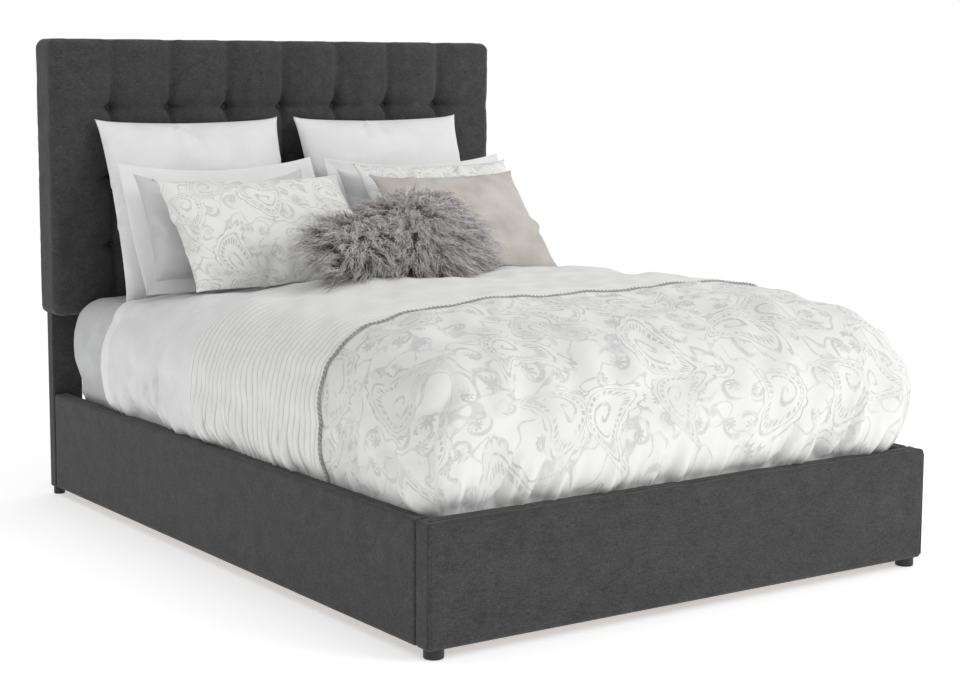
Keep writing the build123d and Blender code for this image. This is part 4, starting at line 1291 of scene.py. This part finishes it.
# ---------------------------------------------------------------- pillows
# Places: the middle's X, the distance from the foot rail, the lowest point, the lean and the turn.
Pillow = namedtuple("Pillow", "width height front back middle from_foot lowest lean turn")
pillow_places = {
    "euro_pillow_left": Pillow(0.640, 0.590, 0.084, 0.046, -0.378, 1.872, 0.658, 20, 0),
    "euro_pillow_right": Pillow(0.640, 0.590, 0.084, 0.046, 0.334, 1.872, 0.658, 20, 0),
    "sham_pillow_left": Pillow(0.680, 0.436, 0.082, 0.043, -0.366, 1.722, 0.697, 25.5, 0),
    "sham_pillow_right": Pillow(0.700, 0.430, 0.084, 0.042, 0.376, 1.724, 0.698, 26, 0),
    "patterned_pillow_left": Pillow(0.640, 0.415, 0.078, 0.050, -0.333, 1.488, 0.727, 42, 0),
    "patterned_pillow_right": Pillow(0.590, 0.425, 0.062, 0.048, 0.358, 1.524, 0.721, 36, 0),
    "accent_pillow": Pillow(0.540, 0.400, 0.060, 0.040, 0.314, 1.374, 0.738, 42, 0),
    "fur_pillow": Pillow(0.600, 0.330, 0.080, 0.055, -0.060, 1.220, 0.765, 45, 4),
}
# Each kind's body, material slot, look and filling, and how far the middle of its top edge sinks.
Kind = namedtuple("Kind", "body slot look fill top_sag")
pillow_kinds = {
    "euro": Kind("back_pillows", "white_cotton", "white_cotton", 0.75, 0.0),
    "sham": Kind("plain_shams", "sham_cotton", "sham_centre", 0.7, 0.034),
    "patterned": Kind("patterned_shams", "patterned_cotton", "patterned_cotton", 0.65, 0.004),
    "accent": Kind("accent_pillow", "taupe_satin", "taupe_satin", 0.6, 0.006),
    "fur": Kind("fur_pillow", "long_fur", "long_fur", 0.7, 0.0),
}
sham_flange = 0.044
settled_depth = 0.014  # how far a pillow sinks under its own weight
sides_pull = 0.04  # how far the sides draw in at their middle, as a share of the half size
cover_grid = 0.0125
cloth_frames = 26
cloth_pressure = 4.5
cloth_stiffness = 22.0

# The fur: where on the pillow's face the hair parts, as X and height, and how many locks it has.
whorl = (0.07, 0.24)
fur_depth = 0.02  # of hair in front of and behind the cushion
lock_groups = 3
locks_per_group = 520
strands_per_lock = 10
lock_rings = 7

Cover = namedtuple("Cover", "points faces rim places width height")


def kind_of(name):
    """The kind of a pillow, from its name's first word."""
    return name.split("_")[0]


def flange_of(name):
    """How wide a pillow's flat border is."""
    return sham_flange if kind_of(name) == "sham" else 0.0


def pillow_skin(width, height):
    """Two layers of cloth joined round their edge, with the rim's order and each point's flat place."""
    columns, rows = round(width / cover_grid), round(height / cover_grid)
    index, points, places = {}, [], []
    for layer in (-1, 1):
        for j in range(rows + 1):
            for i in range(columns + 1):
                rim = i in (0, columns) or j in (0, rows)
                if rim and layer > 0:
                    index[i, j, layer] = index[i, j, -1]
                    continue
                index[i, j, layer] = len(points)
                u, v = 2 * i / columns - 1, 2 * j / rows - 1
                depth = 0.010 * (1 - u**4) * (1 - v**4)
                points.append((u * width / 2, layer * depth, v * height / 2))
                places.append((u * width / 2, v * height / 2, layer))
    faces = []
    for layer in (-1, 1):
        for j in range(rows):
            for i in range(columns):
                quad = [index[i + a, j + b, layer] for a, b in ((0, 0), (1, 0), (1, 1), (0, 1))]
                faces.append(quad if layer < 0 else quad[::-1])
    rim = [index[i, 0, -1] for i in range(columns)]
    rim += [index[columns, j, -1] for j in range(rows)]
    rim += [index[i, rows, -1] for i in range(columns, 0, -1)]
    rim += [index[0, j, -1] for j in range(rows, 0, -1)]
    return Cover(np.array(points), faces, rim, np.array(places), width, height)


def add_cloth(piece):
    """Blender's cloth on a closed cover, filled by pressure, with no gravity."""
    cloth = piece.modifiers.new("cloth", "CLOTH")
    cloth.settings.quality = 5
    cloth.settings.mass = 0.15
    cloth.settings.tension_stiffness = cloth_stiffness
    cloth.settings.compression_stiffness = cloth_stiffness
    cloth.settings.shear_stiffness = cloth_stiffness * 0.4
    cloth.settings.bending_stiffness = 0.25
    cloth.settings.air_damping = 2.0
    cloth.settings.use_pressure = True
    cloth.settings.uniform_pressure_force = cloth_pressure
    cloth.settings.effector_weights.gravity = 0
    cloth.collision_settings.use_collision = False
    cloth.point_cache.frame_start = 1
    cloth.point_cache.frame_end = cloth_frames


def filled_covers(covers):
    """Inflates flat covers together and gives each one's points."""
    pieces = {}
    for name, cover in covers.items():
        pieces[name] = link(name + "_cover", cover.points, cover.faces)
        add_cloth(pieces[name])
    scene = bpy.context.scene
    for step in range(1, cloth_frames + 1):
        scene.frame_set(step)
    graph = bpy.context.evaluated_depsgraph_get()
    results = {}
    for name, piece in pieces.items():
        filled = piece.evaluated_get(graph).data
        numbers = np.empty(len(filled.vertices) * 3)
        filled.vertices.foreach_get("co", numbers)
        results[name] = numbers.reshape(-1, 3)
    for piece in pieces.values():
        mesh = piece.data
        bpy.data.objects.remove(piece)
        bpy.data.meshes.remove(mesh)
    scene.frame_set(1)
    return results


def fitted(points, width, height, front, back):
    """Scales a filled cover to the pillow's width, height and bulges, from its lower edge up."""
    low, high = points.min(axis=0), points.max(axis=0)
    scaled = points - (low + high) / 2
    scaled[:, 0] *= width / (high[0] - low[0])
    scaled[:, 2] = (points[:, 2] - low[2]) * height / (high[2] - low[2])
    scaled[:, 1] = points[:, 1] * np.where(points[:, 1] < 0, front / -low[1], back / high[1])
    return scaled


def half_extent(along, size, pull):
    """Half a pillow's size at a place along its side: drawn in at the middle, drawn out at the ears."""
    return size / 2 * (1 - pull * (1 - along**2)) + 0.008 * np.abs(along) ** 12


def straightened(points, places, width, height):
    """Moves the rim onto a rectangle whose sides pull in a little, all but the lower one."""
    u, v = places[:, 0] / np.abs(places[:, 0]).max(), places[:, 1] / np.abs(places[:, 1]).max()
    out = points.copy()
    for axis, across, along, size in ((0, u, v, width), (2, v, u, height)):
        middle = 0 if axis == 0 else size / 2
        first_pull = sides_pull if axis == 0 else 0.0
        for end, pull in ((-1, first_pull), (1, sides_pull)):
            edge = np.flatnonzero(np.abs(across - end) < 1e-6)
            edge = edge[np.argsort(along[edge])]
            wanted = middle + end * half_extent(along[edge], size, pull)
            shift = np.interp(along, along[edge], wanted - points[edge, axis])
            out[:, axis] += shift * (1 + end * across) / 2
        lowest = middle - half_extent(along, size, first_pull)
        out[:, axis] = np.clip(out[:, axis], lowest, middle + half_extent(along, size, sides_pull))
    thickness = np.abs(out[:, 1])
    room = thickness.max() * 1.05 * ((1 - u**4) * (1 - v**4)).clip(0, 1) ** 0.6 + 0.0015
    out[:, 1] *= room / (thickness**6 + room**6) ** (1 / 6)
    return out


def slump(points, seed, amount=0.004):
    """Uneven filling: soft dents and swellings over the front and back."""
    u, v = points[:, 0], points[:, 2]
    share = np.abs(points[:, 1]) / max(np.abs(points[:, 1]).max(), 1e-6)
    uneven = ripples(seed, 0.16, 0.45)(u, v) * amount + ripples(seed + 1, 0.05, 0.12)(u, v) * amount * 0.25
    out = points.copy()
    out[:, 1] += np.sign(points[:, 1]) * uneven * share
    out[:, 2] -= 4 * amount * share * bump(points[:, 2] - points[:, 2].max(), 0.18)
    return out


def sagged_top(u, depth):
    """How far a top edge sinks at a place between its two corners, at -1 and 1."""
    return depth * (1 - np.abs(u) ** 2.2).clip(0, 1)


def domed(points, width):
    """The fur pillow's outline: highest right of its middle, low at its left end and round at its right."""
    u = points[:, 0] / (width / 2)
    points[:, 2] *= 1 - 0.46 * smooth(0.45, -1.0, u) - 0.30 * smooth(0.60, 1.0, u)
    points[:, 1] *= 1 - 0.25 * smooth(0.1, -1.0, u)
    return points


def pillow_shape(name, filled, places, seed):
    """A filled cover at its pillow's size, straightened, with its filling settled and its top sunk."""
    pillow = pillow_places[name]
    border, lift = flange_of(name), 0.0
    width, height, front, back = pillow[:4]
    if kind_of(name) == "fur":
        width, height, front, back, lift = width - 0.01, height - 0.05, front - fur_depth, back - fur_depth, 0.025
    size = (width - 2 * border, height - 2 * border)
    shape = straightened(fitted(filled, *size, front, back), places, *size)
    shape = slump(shape, seed)
    if kind_of(name) == "fur":
        shape = domed(shape, width)
    else:
        sunk = sagged_top(shape[:, 0] / (size[0] / 2), pillow_kinds[kind_of(name)].top_sag)
        shape[:, 2] -= sunk * smooth(0.25, 1.0, shape[:, 2] / size[1])
    shape[:, 2] += border + lift - settled_depth
    return shape


def pillow_matrix(name):
    """The place of a pillow: its lower edge's middle, leaned back and turned."""
    pillow = pillow_places[name]
    place = Matrix.Translation((pillow.middle, foot_face + pillow.from_foot, pillow.lowest))
    lean = Matrix.Rotation(math.radians(-pillow.lean), 4, "X")
    return place @ lean @ Matrix.Rotation(math.radians(pillow.turn), 4, "Z")


def moved(points, matrix):
    """Points through a 4 by 4 matrix."""
    m = np.array(matrix)
    return points @ m[:3, :3].T + m[:3, 3]


def bed_top():
    """A tree of the comforter's and the sheet's surfaces, which the pillows rest on."""
    verts, polygons = [], []
    for name in ("comforter_quilt", "sheet"):
        mesh = bpy.data.objects[name].data
        start = len(verts)
        verts += [v.co.copy() for v in mesh.vertices]
        polygons += [[start + k for k in polygon.vertices] for polygon in mesh.polygons]
    return BVHTree.FromPolygons(verts, polygons)


def rested(points, tree, room):
    """Flattens what would sink into the bed: points stay a little above it."""
    for point in points:
        hit = tree.ray_cast(Vector((point[0], point[1], 2.0)), Vector((0, 0, -1)))[0]
        if hit is not None and point[2] < hit.z + room:
            point[2] = hit.z + room
    return points


def cushion(name, matrix, shape, cover, tree):
    """A finished cushion: placed, rested on the bed, smoothed once with a firm rim, and its part hidden."""
    kind = pillow_kinds[kind_of(name)]
    piece = link(name + "_cushion", rested(moved(shape, matrix), tree, 0.002), cover.faces, [looks[kind.look]])
    tag(piece, "flat", cover.places * (1, 1, 0))
    rim = {tuple(sorted(pair)) for pair in zip(cover.rim, cover.rim[1:] + cover.rim[:1])}
    crease = piece.data.attributes.new("crease_edge", "FLOAT", "EDGE")
    firm = [0.8 * (tuple(sorted(edge.vertices)) in rim) for edge in piece.data.edges]
    crease.data.foreach_set("value", firm)
    smoother = piece.modifiers.new("smooth", "SUBSURF")
    smoother.levels = smoother.render_levels = 1
    settle(piece, kind.body, [name])


def flange(name, matrix, rim):
    """A sham's flat border: two layers of cloth from the seam to the hem, with a slow wave."""
    pillow, kind = pillow_places[name], pillow_kinds[kind_of(name)]
    name += "_flange"
    half = np.array((pillow.width / 2, 1, pillow.height / 2))
    low, high = rim.min(axis=0), rim.max(axis=0)
    centre, inner_half = (low + high) / 2, (high - low) / 2
    offset = rim - centre
    outward = offset * half / (inner_half[0], 1, inner_half[2])
    square = np.maximum(np.abs(outward[:, 0]) / half[0], np.abs(outward[:, 2]) / half[2])
    outward = outward / square[:, None]
    outward[:, 2] -= (outward[:, 2] > 0) * sagged_top(outward[:, 0] / half[0], kind.top_sag)
    count = len(rim)
    run = np.linspace(0, 2 * math.pi, count, endpoint=False)
    wave = ripples(sum(map(ord, name)), 0.8, 3.0)(run, 0 * run)
    front, back = [], []
    for share in (-0.12, 0.0, 0.25, 0.5, 0.75, 0.96, 1.0):
        ring = offset * (1 - share) + (outward - (0, outward[0, 1], 0)) * share + centre
        thick = 0.0012 if share < 1 else 0.0003
        lift = wave * 0.006 * max(share, 0) ** 1.5
        for layer, out in ((front, -thick), (back, thick)):
            layer.append(ring + np.column_stack([0 * lift, lift + out, 0 * lift]))
    layers = front + back[::-1]
    faces = []
    for r in range(len(layers)):
        following = (r + 1) % len(layers)
        for k in range(count):
            other = (k + 1) % count
            faces.append((r * count + k, r * count + other, following * count + other, following * count + k))
    piece = link(name, moved(np.vstack(layers), matrix), faces, [looks["white_cotton"]])
    settle(piece, kind.body)


def lock_chances(shape, faces):
    """Corners and normals of the fur pillow's faces, and each one's chance to bear a lock."""
    corners = [shape[np.array(faces)[:, k]] for k in range(4)]
    normal = np.cross(corners[2] - corners[0], corners[3] - corners[1])
    area = np.linalg.norm(normal, axis=1)
    normal = normal / area[:, None]
    weight = area * np.where(normal[:, 1] > 0.3, 0.45, 1.0)  # fewer at the back
    return corners, normal, weight / weight.sum()


def fur(matrix, shape, faces, tree):
    """Long curly locks over the whole fur pillow: each is a clump of tapered, waved strands."""
    corners, normal, chance = lock_chances(shape, faces)
    patch, flow = ripples(78, 0.15, 0.5), ripples(79, 0.25, 0.7)
    rng = np.random.default_rng(77)
    for group in range(lock_groups):
        verts, quads, shades = [], [], []
        for pick in rng.choice(len(chance), locks_per_group, p=chance):
            u, v = rng.uniform(0, 1, 2)
            weights = ((1 - u) * (1 - v), u * (1 - v), u * v, (1 - u) * v)
            root = sum(corner[pick] * weight for corner, weight in zip(corners, weights))
            lock(rng, root, normal[pick], patch, flow, verts, quads, shades)
        placed = rested(moved(np.array(verts), matrix), tree, 0.0005)
        piece = link(f"fur_locks_{group + 1}", placed, quads, [looks["long_fur"]])
        tag(piece, "hair", shades)
        settle(piece, "fur_pillow")


def lock(rng, root, way, patch, flow, verts, quads, shades):
    """One lock: strands that start apart, lean with the lock and draw together in a loose curl."""
    swirl = flow(root[0], root[2])
    away = np.array((root[0] - whorl[0], 0.0, root[2] - whorl[1]))
    comb = away * min(1.0, 0.16 / (np.linalg.norm(away) + 0.04)) * 5.0
    comb = comb + (0.35 * math.sin(swirl * 1.4) + rng.normal(0, 0.22), 0.0, rng.normal(-0.15, 0.25))
    length = rng.uniform(0.046, 0.080) * (1 + 0.45 * smooth(-0.12, -0.28, root[0]))
    grey = float(np.clip(0.12 + 0.25 * patch(root[0], root[2]) + 0.85 * smooth(-0.06, -0.20, root[0]), 0, 1))
    phase, coil, turns = rng.uniform(0, 6.28), rng.uniform(0.003, 0.007), rng.uniform(0.8, 1.7)
    along = np.cross(way, (0.3, 0.1, 0.9))
    along /= np.linalg.norm(along)
    other = np.cross(way, along)
    tone = rng.uniform(0, 1)
    for _ in range(strands_per_lock):
        spot = root + along * rng.normal(0, 0.008) + other * rng.normal(0, 0.008)
        reach = length * rng.uniform(0.7, 1.15)
        lightness = 0.5 * tone + 0.5 * rng.uniform(0, 1)
        start = phase + rng.normal(0, 0.5)
        base = len(verts)
        for ring in range(lock_rings):
            t = ring / (lock_rings - 1)
            turn = start + turns * 2 * math.pi * t
            gather, swing = 0.45 * t, coil * (0.2 + t)
            centre = (spot * (1 - gather) + root * gather) - way * 0.004
            centre = centre + way * reach * (t - 0.42 * t * t) + comb * reach * 0.75 * t * t
            centre = centre + along * math.cos(turn) * swing + other * math.sin(turn) * swing
            thick = 0.00135 * (1 - 0.88 * t**1.4) * (0.7 + 0.6 * lightness)
            for k in range(3):
                side = 2.094 * k + turn
                verts.append(centre + (along * math.cos(side) + other * math.sin(side)) * thick)
                shades.append((t, grey, lightness))
            if ring:
                for k in range(3):
                    p, q = base + (ring - 1) * 3 + k, base + (ring - 1) * 3 + (k + 1) % 3
                    quads.append((p, q, q + 3, p + 3))


def pillows():
    """Every pillow: its cover is filled by cloth simulation, then fitted, rested and finished."""
    covers = {}
    for name, pillow in pillow_places.items():
        border = flange_of(name)
        covers[name] = pillow_skin(pillow.width - 2 * border, pillow.height - 2 * border)
    tree = bed_top()
    for count, (name, filled) in enumerate(filled_covers(covers).items()):
        cover, matrix = covers[name], pillow_matrix(name)
        shape = pillow_shape(name, filled, cover.places, 60 + count * 3)
        cushion(name, matrix, shape, cover, tree)
        if kind_of(name) == "sham":
            flange(name, matrix, shape[cover.rim])
        if kind_of(name) == "fur":
            fur(matrix, shape, cover.faces, tree)


pillows()
